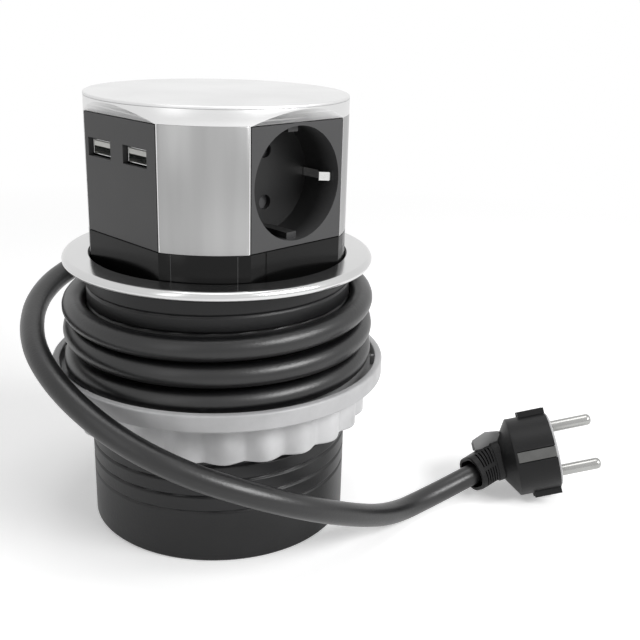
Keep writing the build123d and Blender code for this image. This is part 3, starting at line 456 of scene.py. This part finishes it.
class Shader:
    """A principled material whose nodes are added one at a time."""

    def __init__(self, name, colour, roughness, metallic=0.0, **fixed):
        self.material = bpy.data.materials.new(name)
        self.material.use_nodes = True
        self.tree = self.material.node_tree
        self.shader = self.tree.nodes["Principled BSDF"]
        self.shader.inputs["Base Color"].default_value = (*colour, 1.0)
        self.shader.inputs["Roughness"].default_value = roughness
        self.shader.inputs["Metallic"].default_value = metallic
        for word, value in fixed.items():
            self.shader.inputs[socket_name(word)].default_value = value
        self.colour = colour
        self.roughness = roughness
        self.coordinates = self.add("ShaderNodeTexCoord").outputs["Object"]
        self.height = None

    def add(self, kind, **inputs):
        """A node whose inputs are given as numbers or as outputs of other nodes."""
        node = self.tree.nodes.new(kind)
        for word, value in inputs.items():
            name = socket_name(word)
            if hasattr(value, "is_output"):
                self.tree.links.new(value, node.inputs[name])
            else:
                node.inputs[name].default_value = value
        return node

    def noise(self, scale, detail, stretch=None):
        """Noise at this many cells a metre, drawn out along an axis by stretch."""
        source = self.coordinates
        if stretch:
            source = self.add("ShaderNodeMapping", Vector=source, Scale=stretch).outputs["Vector"]
        node = self.add("ShaderNodeTexNoise", Vector=source, Scale=scale, Detail=detail)
        return node.outputs["Fac"]

    def ring_noise(self, scale, detail):
        """Noise that runs in rings round Z."""
        parts = self.add("ShaderNodeSeparateXYZ", Vector=self.coordinates)
        flat = self.add("ShaderNodeCombineXYZ", X=parts.outputs["X"], Y=parts.outputs["Y"])
        length = self.tree.nodes.new("ShaderNodeVectorMath")
        length.operation = "LENGTH"
        self.tree.links.new(flat.outputs["Vector"], length.inputs[0])
        rings = self.add("ShaderNodeCombineXYZ", X=length.outputs["Value"], Y=parts.outputs["Z"])
        source = rings.outputs["Vector"]
        node = self.add("ShaderNodeTexNoise", Vector=source, Scale=scale, Detail=detail)
        return node.outputs["Fac"]

    def vary_roughness(self, source, less, more):
        """Roughness that runs from less below its value to more above it."""
        node = self.add(
            "ShaderNodeMapRange", Value=source,
            To_Min=self.roughness - less, To_Max=self.roughness + more,
        )
        self.tree.links.new(node.outputs["Result"], self.shader.inputs["Roughness"])

    def vary_colour(self, source, share, low=0.35, high=0.65):
        """The colour, which runs to a share of itself as the source goes from low to high."""
        ramp = self.add("ShaderNodeMapRange", Value=source, From_Min=low, From_Max=high)
        mix = self.tree.nodes.new("ShaderNodeMix")
        mix.data_type = "RGBA"
        self.tree.links.new(ramp.outputs["Result"], mix.inputs["Factor"])
        mix.inputs[6].default_value = (*self.colour, 1.0)
        mix.inputs[7].default_value = (*(value * share for value in self.colour), 1.0)
        self.tree.links.new(mix.outputs[2], self.shader.inputs["Base Color"])

    def bump(self, source, distance, strength=1.0):
        """A bump on top of the ones before it."""
        node = self.add("ShaderNodeBump", Height=source, Distance=distance, Strength=strength)
        if self.height:
            self.tree.links.new(self.height, node.inputs["Normal"])
        self.height = node.outputs["Normal"]
        self.tree.links.new(self.height, self.shader.inputs["Normal"])


def grey(value):
    return (value, value, value)


def moulded(name, colour, roughness, grain=1400.0, depth=0.00004, **fixed):
    """Moulded plastic: a fine grain, and sheen that changes slowly over the surface."""
    made = Shader(name, colour, roughness, **fixed)
    slow = made.noise(scale=55.0, detail=4.0)
    made.vary_colour(slow, share=1.25)
    made.vary_roughness(slow, less=0.05, more=0.07)
    made.bump(made.noise(scale=grain, detail=2.0), distance=depth)
    return made.material


def face_plastic(name, colour, roughness):
    """Face plates' plastic, with painted shade that darkens it inside the wells and the ports."""
    made = Shader(name, colour, roughness, specular_ior_level=0.4)
    slow = made.noise(scale=55.0, detail=4.0)
    made.vary_roughness(slow, less=0.05, more=0.07)
    made.bump(made.noise(scale=1800.0, detail=2.0), distance=0.00003)
    # Painted shade: the colour darkens to a fifth of itself from the face plates' front into the
    # wells and ports.
    parts = made.add("ShaderNodeSeparateXYZ", Vector=made.coordinates)
    reach = made.tree.nodes.new("ShaderNodeMath")
    reach.operation = "MAXIMUM"
    for index, axis in enumerate("XY"):
        size = made.tree.nodes.new("ShaderNodeMath")
        size.operation = "ABSOLUTE"
        made.tree.links.new(parts.outputs[axis], size.inputs[0])
        made.tree.links.new(size.outputs["Value"], reach.inputs[index])
    depth = made.add(
        "ShaderNodeMapRange", Value=reach.outputs["Value"],
        From_Min=FACE_DISTANCE - WELL_SHADE_START, From_Max=FACE_DISTANCE - WELL_SHADE_DARKEST,
    )
    made.vary_colour(depth.outputs["Result"], share=0.2, low=0.0, high=1.0)
    return made.material


def satin_metal(name, colour, roughness, stretch):
    """Satin metal or metal paint with short brushed lines."""
    made = Shader(name, colour, roughness, metallic=1.0)
    lines = made.noise(scale=1.0, detail=3.0, stretch=stretch)
    made.vary_colour(made.noise(scale=30.0, detail=3.0), share=0.94)
    made.vary_roughness(lines, less=0.05, more=0.06)
    made.bump(lines, distance=LINE_DEPTH)
    return made.material


def ringed_metal(name, colour, roughness):
    """Metal turned on a lathe, with fine rings."""
    made = Shader(name, colour, roughness, metallic=1.0)
    rings = made.ring_noise(scale=4200.0, detail=2.0)
    made.vary_colour(made.noise(scale=26.0, detail=3.0), share=0.95)
    made.vary_roughness(rings, less=0.05, more=0.06)
    made.bump(rings, distance=LINE_DEPTH)
    return made.material


def pressed_sheet(name, colour, roughness):
    """Plated sheet or wire, with faint blotches."""
    made = Shader(name, colour, roughness, metallic=1.0)
    blotches = made.noise(scale=260.0, detail=4.0)
    made.vary_colour(blotches, share=0.86)
    made.vary_roughness(blotches, less=0.06, more=0.1)
    made.bump(made.noise(scale=2600.0, detail=2.0), distance=0.000015)
    return made.material


def polished(name, colour, roughness):
    """Plated turned metal, nearly smooth, with faint rubbed patches."""
    made = Shader(name, colour, roughness, metallic=1.0)
    patches = made.noise(scale=140.0, detail=3.0)
    made.vary_colour(patches, share=0.92)
    made.vary_roughness(patches, less=0.03, more=0.05)
    made.bump(patches, distance=0.000006)
    return made.material


def brushed_panel(name, colour, roughness):
    """Painted metal panel with soft upright streaks, broad ones of painted sheen in its colour
    over fine ones.
    """
    made = Shader(name, colour, roughness, metallic=1.0)
    # Painted sheen: broad upright streaks that make the colour brighter in places.
    sheen_streaks = made.noise(scale=1.0, detail=2.0, stretch=(90.0, 90.0, 6.0))
    made.vary_colour(sheen_streaks, share=1.3, low=0.3, high=0.7)
    lines = made.noise(scale=1.0, detail=3.0, stretch=(2600.0, 2600.0, 120.0))
    made.vary_roughness(lines, less=0.05, more=0.06)
    made.bump(lines, distance=LINE_DEPTH)
    return made.material


def sheath(name, colour, roughness):
    """Rubber sheath: faint lengthwise unevenness and a fine grain."""
    made = Shader(name, colour, roughness, specular_ior_level=0.6)
    slow = made.noise(scale=70.0, detail=3.0)
    made.vary_colour(slow, share=1.5)
    made.vary_roughness(slow, less=0.06, more=0.08)
    made.bump(made.noise(scale=900.0, detail=3.0), distance=0.00006)
    made.bump(slow, distance=0.0002, strength=0.3)
    return made.material


def circuit_board(name, colour, roughness):
    """Lacquered board with faint tracks."""
    made = Shader(name, colour, roughness)
    tracks = made.noise(scale=420.0, detail=1.0, stretch=(1.0, 1.0, 0.2))
    made.vary_colour(tracks, share=1.7, low=0.48, high=0.52)
    made.bump(tracks, distance=0.00005)
    return made.material


# Each look by its name: what makes it, colour, roughness and further settings
LOOKS = {
    "tube_black": (
        moulded, (0.009, 0.009, 0.0095), 0.40,
        {"grain": 900.0, "depth": 0.00005, "specular_ior_level": 0.35},
    ),
    "flange_metal": (ringed_metal, grey(0.63), 0.17, {}),
    "lid_metal": (satin_metal, grey(0.72), 0.42, {"stretch": (400.0, 4000.0, 400.0)}),
    "band_silver": (satin_metal, grey(0.74), 0.34, {"stretch": (300.0, 300.0, 6000.0)}),
    "panel_silver": (brushed_panel, grey(0.325), 0.34, {}),
    "face_black": (face_plastic, (0.052, 0.052, 0.053), 0.38, {}),
    "plinth_black": (
        moulded, grey(0.003), 0.20,
        {"grain": 1500.0, "depth": 0.00001, "specular_ior_level": 0.2},
    ),
    "ring_grey": (moulded, (0.39, 0.39, 0.395), 0.38, {"grain": 1500.0, "depth": 0.00003}),
    "nut_grey": (moulded, (0.49, 0.49, 0.495), 0.36, {"grain": 1500.0, "depth": 0.00003}),
    "cord_black": (sheath, (0.0025, 0.0025, 0.0028), 0.34, {}),
    "plug_black": (
        moulded, (0.004, 0.004, 0.0043), 0.44,
        {"grain": 1300.0, "depth": 0.00006, "specular_ior_level": 0.25},
    ),
    "strip_dull": (pressed_sheet, (0.14, 0.14, 0.137), 0.32, {}),
    "tab_grey": (moulded, grey(0.22), 0.48, {"grain": 1300.0, "depth": 0.00006}),
    "seam_black": (moulded, grey(0.0), 0.9, {"specular_ior_level": 0.0}),
    "pin_nickel": (polished, (0.38, 0.38, 0.37), 0.26, {}),
    "clip_steel": (pressed_sheet, (0.80, 0.80, 0.79), 0.20, {}),
    "contact_brass": (pressed_sheet, (0.72, 0.55, 0.28), 0.28, {}),
    "carrier_nylon": (moulded, (0.58, 0.56, 0.50), 0.5, {}),
    "shutter_grey": (moulded, (0.05, 0.05, 0.052), 0.5, {}),
    "screw_steel": (pressed_sheet, (0.60, 0.60, 0.61), 0.28, {}),
    "spring_steel": (pressed_sheet, (0.50, 0.51, 0.52), 0.25, {}),
    "shell_steel": (pressed_sheet, grey(0.86), 0.18, {}),
    "board_green": (circuit_board, (0.003, 0.014, 0.008), 0.35, {}),
    "chip_black": (moulded, grey(0.02), 0.5, {}),
    "frame_black": (moulded, (0.025, 0.025, 0.026), 0.5, {}),
    "latch_white": (moulded, (0.6, 0.6, 0.58), 0.45, {}),
    "terminal_white": (moulded, (0.65, 0.65, 0.62), 0.5, {}),
}
materials = {
    name: maker(name, colour, roughness, **settings)
    for name, (maker, colour, roughness, settings) in LOOKS.items()
}


def dress(piece, body, slot, replaced=(), look=None):
    """Gives a piece its look and the body that it rides on, and hides the nodes that it stands
    for.
    """
    piece.data.materials.clear()
    piece.data.materials.append(materials[look or slot])
    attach(piece, body)
    if replaced:
        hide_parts(*replaced)
    return piece


def finish_nodes():
    """Every node takes the material of its slot, and small round edges."""
    for entry in frame["record"]["subparts"]:
        node = nodes[entry["node"]]
        node.data.materials.clear()
        node.data.materials.append(
            materials[NODE_LOOKS.get(entry["node"], entry["material_slot"])]
        )
        soften_edges(node, FINE_EDGES.get(entry["node"], EDGE_WIDTH))


def press_inner_pieces():
    """The spring and the lead inside the tube each get a mesh of their own."""
    for name in ("lift_spring", "internal_lead"):
        node = nodes[name]
        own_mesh(node)


# Cord
def coil_points():
    """Control points of the coil, COIL_STEPS to a quarter turn."""
    spread = 1 / math.cos(math.radians(90 / COIL_STEPS / 2))
    quarter = COIL_RADIUS * math.pi / 2
    points = []
    for index in range(len(COIL_HEIGHT_SHARES) - 1):
        low = COIL_BASE + COIL_HEIGHT_SHARES[index] * CORD_DIAMETER
        high = COIL_BASE + COIL_HEIGHT_SHARES[index + 1] * CORD_DIAMETER
        rise_in = COIL_SLOPE_SHARES[index] * quarter
        rise_out = COIL_SLOPE_SHARES[index + 1] * quarter
        for step in range(COIL_STEPS):
            share = (step + 0.5) / COIL_STEPS
            height = (
                low * (1 + 2 * share) * (1 - share) ** 2
                + rise_in * share * (1 - share) ** 2
                + high * share ** 2 * (3 - 2 * share)
                - rise_out * share ** 2 * (1 - share)
            )
            angle = COIL_START_ANGLE + 90 * (index + share)
            points.append(place(angle, COIL_RADIUS * spread, height))
    return points


def relief_direction():
    """Level round the tube at the gland, tipped up by the relief's rise."""
    turn = math.radians(GLAND_ANGLE)
    rise = math.radians(RELIEF_RISE)
    level = Vector((math.cos(turn), math.sin(turn), 0.0)).normalized()
    return level * math.cos(rise) + Vector((0, 0, math.sin(rise)))


def make_cord():
    """The mains lead from the gland's relief round the tube to the plug, and its exit."""
    elbow = place(GLAND_ANGLE, GLAND_REACH, GLAND_HEIGHT)
    start = elbow + relief_direction() * RELIEF_LENGTH
    route = [start, *[Vector(corner) for corner in RISER_CORNERS], *coil_points()]
    route += [Vector(corner) for corner in LEAD_CORNERS]
    to_plug = plug_point(0, 0, -PLUG_DEPTH) - route[-1]
    route.append(route[-1] + to_plug.normalized() * CORD_TUCK)
    curve = bpy.data.curves.new("mains_cord", "CURVE")
    curve.dimensions = "3D"
    curve.resolution_u = 12
    curve.bevel_depth = CORD_DIAMETER / 2
    curve.bevel_resolution = 8
    spline = curve.splines.new("NURBS")
    spline.points.add(len(route) - 1)
    for point, corner in zip(spline.points, route):
        point.co = (*corner, 1.0)
    spline.order_u = 3
    spline.use_endpoint_u = True
    cord = bpy.data.objects.new("mains_cord", curve)
    bpy.context.scene.collection.objects.link(cord)
    dress(cord, "housing", "cord_black", ("cord_riser", "cord_coil", "cord_lead"))
    return cord, start


# Tube, flange and lid
def thread_depth(turn, height):
    """Depth of the helical groove at this place on the tube."""
    if not THREAD_BOTTOM < height < THREAD_TOP:
        return 0.0
    travel = (height - THREAD_BOTTOM - THREAD_PITCH * turn / (2 * math.pi)) % THREAD_PITCH
    away = min(travel, THREAD_PITCH - travel)
    fade = min(
        1.0, (height - THREAD_BOTTOM) / THREAD_PITCH, (THREAD_TOP - height) / THREAD_PITCH
    )
    return THREAD_DEPTH * fade * max(0.0, 1 - away / THREAD_HALF_WIDTH)


def make_tube():
    heights = [TUBE_FOOT_BEVEL]
    while heights[-1] + TUBE_ROW < TUBE_TOP:
        heights.append(heights[-1] + TUBE_ROW)
    heights.append(TUBE_TOP)
    rings = [
        circle(BORE_RADIUS, TUBE_TOP, TUBE_SEGMENTS),
        circle(BORE_RADIUS, 0.0, TUBE_SEGMENTS),
        circle(TUBE_RADIUS - TUBE_FOOT_BEVEL, 0.0, TUBE_SEGMENTS),
    ]
    for height in heights:
        radii = [TUBE_RADIUS - thread_depth(turn, height) for turn in angles(TUBE_SEGMENTS)]
        rings.append(level_ring(radii, height))
    rings.append(rings[0])
    tube = stack("threaded_tube", rings, closed_ends=False, smooth_angle=50.0)
    dress(tube, "housing", "tube_black", ("housing_tube",))


def make_flange():
    corners = [
        (TUBE_RADIUS + FLANGE_SLIP, FLANGE_UNDERSIDE, 0),
        (FLANGE_RADIUS, FLANGE_UNDERSIDE, 0.0018),
        (FLANGE_RADIUS, FLANGE_TOP, 0.0020),
        (FLANGE_OPENING, FLANGE_TOP, 0.0003),
        (FLANGE_OPENING, TUBE_TOP, 0),
        (TUBE_RADIUS + FLANGE_SLIP, TUBE_TOP, 0),
    ]
    flange = lathe("flange", round_corners(corners, steps=10))
    dress(flange, "housing", "flange_metal", ("flange_ring",))


def make_lid():
    """The lid's rounded side, closed with a flat face below and above."""
    corners = [
        (0.0, LID_BOTTOM, 0),
        (HEAD_RADIUS, LID_BOTTOM, 0.00035),
        (HEAD_RADIUS, LID_TOP, 0.0006),
        (0.0, LID_TOP, 0),
    ]
    side = round_corners(corners, steps=6)[1:-1]
    lid = stack("lid", [circle(radius, height, ROUND_SEGMENTS) for radius, height in side])
    dress(lid, "tower", "lid_metal", ("lid_plate",))


# Clamp ring and ring nut
def make_dish():
    """The clamp ring as a dish, with upright ribs inside its rim."""
    corners = [
        (RING_BORE, DISH_BOTTOM, 0.0003),
        (RIM_RADIUS, DISH_BOTTOM, 0.0007),
        (RIM_RADIUS, RIM_TOP, 0.0008),
        (RIM_RADIUS - RIM_WALL, RIM_TOP, 0.0006),
        (RIM_RADIUS - RIM_WALL, DISH_FLOOR, 0.0008),
        (RING_BORE, DISH_FLOOR, 0.0003),
    ]
    dish = lathe("clamp_dish", round_corners(corners))
    dress(dish, "clamp", "ring_grey", ("clamp_ring",))
    top = RIM_TOP - RIB_DROP
    levels = ((DISH_FLOOR - RIB_TIP, 1.0), (top - RIB_TIP, 1.0), (top, RIB_TIP_SHARE))
    outer = RIM_RADIUS - RIM_WALL + RIB_BITE
    inner = RIM_RADIUS - RIM_WALL - RIB_DEPTH
    section = round_corners(
        [
            (outer, -RIB_WIDTH / 2, 0),
            (outer, RIB_WIDTH / 2, 0),
            (inner, RIB_WIDTH / 2, RIB_CORNER),
            (inner, -RIB_WIDTH / 2, RIB_CORNER),
        ],
        steps=3,
    )
    for number, turn in enumerate(angles(DISH_RIBS)):
        rings = []
        for height, share in levels:
            ring = []
            for reach, side in section:
                reach = outer + (reach - outer) * share
                side *= share
                ring.append(Vector((
                    reach * math.cos(turn) - side * math.sin(turn),
                    reach * math.sin(turn) + side * math.cos(turn),
                    height,
                )))
            rings.append(list(reversed(ring)))
        dress(stack(f"dish_rib_{number + 1}", rings), "clamp", "ring_grey")


def make_nut():
    """The ring nut's skirt: shallow flutes with soft ridges, rounded at its lower edge."""
    segments = NUT_LOBES * NUT_LOBE_STEPS
    waves = [abs(math.sin(NUT_LOBES * turn / 2)) ** FLUTE_POWER for turn in angles(segments)]
    levels = []
    for degrees in range(0, 91, 15):
        turn = math.radians(degrees)
        rise = NUT_EDGE * (1 - math.cos(turn))
        levels.append((NUT_BOTTOM + rise, NUT_EDGE - NUT_EDGE * math.sin(turn)))
    levels += [(NUT_TOP - NUT_EDGE, 0.0), (NUT_TOP, NUT_TOP_BEVEL)]
    rings = [circle(RING_BORE, NUT_TOP, segments), circle(RING_BORE, NUT_BOTTOM, segments)]
    for height, inset in levels:
        radii = [NUT_RADIUS - NUT_FLUTE * (1 - wave) - inset for wave in waves]
        rings.append(level_ring(radii, height))
    rings.append(rings[0])
    nut = stack("ring_nut_skirt", rings, closed_ends=False, smooth_angle=60.0)
    dress(nut, "nut", "nut_grey", ("ring_nut",))


# Plug
def make_pins():
    """The two pins with round tips, each in its collar."""
    pieces = []
    profile = [
        (PIN_RADIUS - PIN_FOOT_BEVEL, -PIN_ROOT),
        (PIN_RADIUS, PIN_START),
        (PIN_RADIUS, PIN_LENGTH - PIN_TIP),
    ]
    for step in range(1, 9):
        turn = math.radians(step * PIN_TIP_STEP)
        profile.append((
            PIN_RADIUS - PIN_TIP + PIN_TIP * math.cos(turn),
            PIN_LENGTH - PIN_TIP + PIN_TIP * math.sin(turn),
        ))
    for label, up in (("upper", PIN_OFFSET), ("lower", -PIN_OFFSET)):
        pin = turned(f"plug_pin_{label}", plug_point(0, up, 0), plug_way, profile)
        pieces.append(dress(pin, "housing", "pin_nickel", ("plug_pins",)))
        foot = plug_point(0, up, COLLAR_FOOT)
        collar = turned(f"plug_collar_{label}", foot, plug_way, COLLAR_PROFILE)
        pieces.append(dress(collar, "housing", "ring_grey"))
    return pieces


def make_plug_face():
    """The pale plate at the plug's front, with a raised bar between the pins."""
    plate_rings = []
    for half_width, half_height, ahead in PLATE_RINGS:
        plate_rings.append([
            plug_point(half_width * math.cos(turn), half_height * math.sin(turn), ahead)
            for turn in angles(PLATE_SEGMENTS)
        ])
    bar_rings = [
        rounded_ring(
            plug_point(0, 0, ahead), plug_side, plug_up,
            BAR_HALF_WIDTH - inset, BAR_HALF_HEIGHT - inset, BAR_CORNER,
        )
        for inset, ahead in BAR_RINGS
    ]
    return [
        dress(stack("plug_face", plate_rings), "housing", "ring_grey"),
        dress(stack("plug_face_bar", bar_rings), "housing", "ring_grey"),
    ]


def relief_section(share):
    """Centre and axes of the sleeve, from the plug's back at 0 to the mouth at 1."""
    mouth = Vector(LEAD_CORNERS[-1])
    mouth_way = (mouth - Vector(LEAD_CORNERS[-2])).normalized()
    back = plug_point(0, 0, -PLUG_DEPTH)
    reach = (back - mouth).length
    centre = (
        back * (1 + 2 * share) * (1 - share) ** 2
        + mouth * share ** 2 * (3 - 2 * share)
        - plug_way * reach * share * (1 - share) ** 2
        + mouth_way * reach * share ** 2 * (1 - share)
    )
    way = plug_way.lerp(mouth_way, share).normalized()
    side = (plug_side - way * plug_side.dot(way)).normalized()
    return centre, side, way.cross(side)


def sleeve_ring(share, grow=0.0, slotted=False):
    """The sleeve's section, pulled in at both sides where it is slotted."""
    centre, side, up = relief_section(share)
    half_width, half_height = (
        back + (mouth - back) * share + grow for back, mouth in zip(SLEEVE_BACK, SLEEVE_MOUTH)
    )
    corner = half_height - SLEEVE_FLAT
    ring = rounded_ring(centre, side, up, half_width, half_height, corner, SLEEVE_STEPS)
    if not slotted:
        return ring
    for index, point in enumerate(ring):
        lift = (point - centre).dot(up)
        away = (point - centre).dot(side) / half_width
        beside = SLOT_LOW_SHARE < abs(lift) / half_height < SLOT_HIGH_SHARE
        if beside and abs(away) > SLOT_SIDE_SHARE:
            inward = side * math.copysign(SLOT_DEPTH, away)
            ring[index] = point - inward - up * SLOT_LEAN * math.copysign(1.0, lift)
    return ring


def make_relief():
    """A hollow sleeve with two groups of slots on each side, and the tab above it."""
    rings = [sleeve_ring(share, grow) for share, grow in SLEEVE_HOLLOW]
    for number in range(RELIEF_SLOTS):
        near = FIRST_SLOT - number * SLOT_PITCH
        rings += [
            sleeve_ring(near),
            sleeve_ring(near - SLOT_RAMP, slotted=True),
            sleeve_ring(near - (SLOT_LENGTH - SLOT_RAMP), slotted=True),
            sleeve_ring(near - SLOT_LENGTH),
        ]
    rings += [sleeve_ring(share, grow) for share, grow in SLEEVE_COLLAR]
    sleeve = stack("plug_sleeve", rings, smooth_angle=32.0)
    tab_rings = [
        rounded_ring(
            plug_point(0.0, (low + high) / 2, ahead), plug_side, plug_up,
            half_width, (high - low) / 2, TAB_CORNER,
        )
        for ahead, low, high, half_width in TAB_RINGS
    ]
    return [
        dress(sleeve, "housing", "plug_black", ("plug_relief",)),
        dress(stack("plug_tab", tab_rings), "housing", "plug_black", look="tab_grey"),
    ]


# Corner panels and plinth
def make_strip(name, edges, radius, heights, slot, look):
    """A thin upright strip on the head between two angles."""
    outside = [place(angle, radius, 0.0) for angle in edges]
    inside = [point * (1 - STRIP_DEPTH / radius) for point in outside]
    rings = [
        [point + Vector((0, 0, height)) for point in [*inside, *reversed(outside)]]
        for height in heights
    ]
    dress(stack(name, rings), "tower", slot, look=look)


def make_corner_lines():
    """Bright strips of painted highlight on the corner panels' edges, and the seams of the
    plinth.
    """
    panel_heights = (FACE_BOTTOM + LINE_GAP, LID_BOTTOM - BAND_HEIGHT)
    seam_heights = (TUBE_TOP - SEAM_SINK, FACE_BOTTOM - LINE_GAP)
    for number in range(4):
        corner = -45.0 + 90.0 * number
        for side, label in ((-1, "left"), (1, "right")):
            # A brighter strip along each panel edge: a painted highlight.
            edge = corner + side * PANEL_SPREAD
            make_strip(
                f"panel_edge_highlight_{number + 1}_{label}",
                sorted((edge, edge - side * PANEL_HIGHLIGHT_ANGLE)),
                HEAD_RADIUS + PANEL_HIGHLIGHT_LIFT, panel_heights, "panel_silver", "band_silver",
            )
            seam = corner + side * SEAM_SPREAD
            make_strip(
                f"plinth_seam_{number + 1}_{label}",
                (seam - SEAM_HALF_ANGLE, seam + SEAM_HALF_ANGLE),
                HEAD_RADIUS + SEAM_LIFT, seam_heights, "plinth_black", "face_black",
            )
    front = -FACE_DISTANCE - SEAM_LIFT
    back = -FACE_DISTANCE + FRONT_SEAM_DEPTH
    left, right = FRONT_SEAM_SIDES
    corners = [(left, front), (right, front), (right, back), (left, back)]
    rings = [[Vector((x, y, height)) for x, y in corners] for height in seam_heights]
    dress(stack("plinth_seam_front", rings), "tower", "plinth_black", look="seam_black")


# Gland behind the tube
def make_gland():
    """A ribbed bend relief that points up round the tube, on its stub."""
    elbow = place(GLAND_ANGLE, GLAND_REACH, GLAND_HEIGHT)
    profile = []
    for degrees in range(-84, 1, 12):
        turn = math.radians(degrees)
        profile.append((GLAND_ROOT * math.cos(turn), GLAND_ROOT * math.sin(turn)))
    for number in range(GLAND_RIBS):
        reach = GLAND_FIRST_RIB + number * GLAND_RIB_PITCH
        radius = GLAND_ROOT + (GLAND_TIP - GLAND_ROOT) * reach / RELIEF_LENGTH
        profile += [(radius - drop, reach + ahead) for drop, ahead in GLAND_RIB]
    profile.append((GLAND_TIP, RELIEF_LENGTH - GLAND_TIP_EDGE))
    profile.append((GLAND_TIP - GLAND_TIP_BEVEL, RELIEF_LENGTH))
    relief = turned("gland_bend_relief", elbow, relief_direction(), profile, GLAND_SEGMENTS)
    stub = turned("gland_stub", elbow, place(GLAND_ANGLE, 1.0, 0.0), STUB_PROFILE)
    return [
        dress(relief, "housing", "plug_black", ("bend_relief",)),
        dress(stub, "housing", "plug_black"),
    ]


# Lights, floor and world
def add_light(name, place_at, size, power):
    data = bpy.data.lights.new(name, "AREA")
    data.shape = "RECTANGLE"
    data.size, data.size_y = size
    data.energy = power
    light = bpy.data.objects.new(name, data)
    light.location = place_at
    light.rotation_mode = "QUATERNION"
    aim = Vector(LIGHT_AIM) - Vector(place_at)
    light.rotation_quaternion = aim.to_track_quat("-Z", "Y")
    bpy.context.scene.collection.objects.link(light)


def seen_ray(tree):
    """One for camera, glossy and transmission rays, none for the others."""
    path = tree.nodes.new("ShaderNodeLightPath")
    either = tree.nodes.new("ShaderNodeMath")
    either.operation = "MAXIMUM"
    tree.links.new(path.outputs["Is Camera Ray"], either.inputs[0])
    tree.links.new(path.outputs["Is Glossy Ray"], either.inputs[1])
    seen = tree.nodes.new("ShaderNodeMath")
    seen.operation = "MAXIMUM"
    tree.links.new(either.outputs["Value"], seen.inputs[0])
    tree.links.new(path.outputs["Is Transmission Ray"], seen.inputs[1])
    return seen.outputs["Value"]


def make_floor():
    """A white floor that keeps the shadow near the object and turns plain white further off."""
    reach = FLOOR_REACH
    floor = add_object(
        "floor",
        [(-reach, -reach, 0), (reach, -reach, 0), (reach, reach, 0), (-reach, reach, 0)],
        [(0, 1, 2, 3)],
    )
    made = Shader("floor_white", grey(0.93), 0.9)
    tree = made.tree
    made.shader.inputs["Emission Color"].default_value = (1.0, 1.0, 1.0, 1.0)
    seen = seen_ray(tree)
    lift = made.add("ShaderNodeMapRange", Value=seen, To_Min=0.0, To_Max=FLOOR_LIFT)
    tree.links.new(lift.outputs["Result"], made.shader.inputs["Emission Strength"])
    length = tree.nodes.new("ShaderNodeVectorMath")
    length.operation = "LENGTH"
    tree.links.new(made.coordinates, length.inputs[0])
    fade = made.add(
        "ShaderNodeMapRange", Value=length.outputs["Value"],
        From_Min=FLOOR_FADE[0], From_Max=FLOOR_FADE[1],
    )
    share = tree.nodes.new("ShaderNodeMath")
    share.operation = "MULTIPLY"
    tree.links.new(fade.outputs["Result"], share.inputs[0])
    tree.links.new(seen, share.inputs[1])
    white = made.add("ShaderNodeEmission", Strength=1.0)
    mix = tree.nodes.new("ShaderNodeMixShader")
    tree.links.new(share.outputs["Value"], mix.inputs[0])
    tree.links.new(made.shader.outputs["BSDF"], mix.inputs[1])
    tree.links.new(white.outputs["Emission"], mix.inputs[2])
    tree.links.new(mix.outputs["Shader"], tree.nodes["Material Output"].inputs["Surface"])
    floor.data.materials.append(made.material)


def make_world():
    """White all round for seen rays, and dimmer as a light."""
    world = bpy.data.worlds.new("studio")
    world.use_nodes = True
    bpy.context.scene.world = world
    tree = world.node_tree
    background = tree.nodes["Background"]
    mix = tree.nodes.new("ShaderNodeMix")
    mix.data_type = "FLOAT"
    mix.inputs["A"].default_value = WORLD_LIGHT
    mix.inputs["B"].default_value = 1.0
    tree.links.new(seen_ray(tree), mix.inputs["Factor"])
    tree.links.new(mix.outputs["Result"], background.inputs["Strength"])
    background.inputs["Color"].default_value = (1.0, 1.0, 1.0, 1.0)


make_camera()
finish_nodes()
press_inner_pieces()
cord, cord_exit = make_cord()
make_tube()
make_flange()
make_lid()
make_dish()
make_nut()
make_corner_lines()
plug_pieces = make_pins() + make_plug_face() + make_relief()
gland_pieces = make_gland()
make_floor()
make_world()
for light in LIGHTS:
    add_light(*light)

bpy.context.scene.view_settings.view_transform = "Standard"
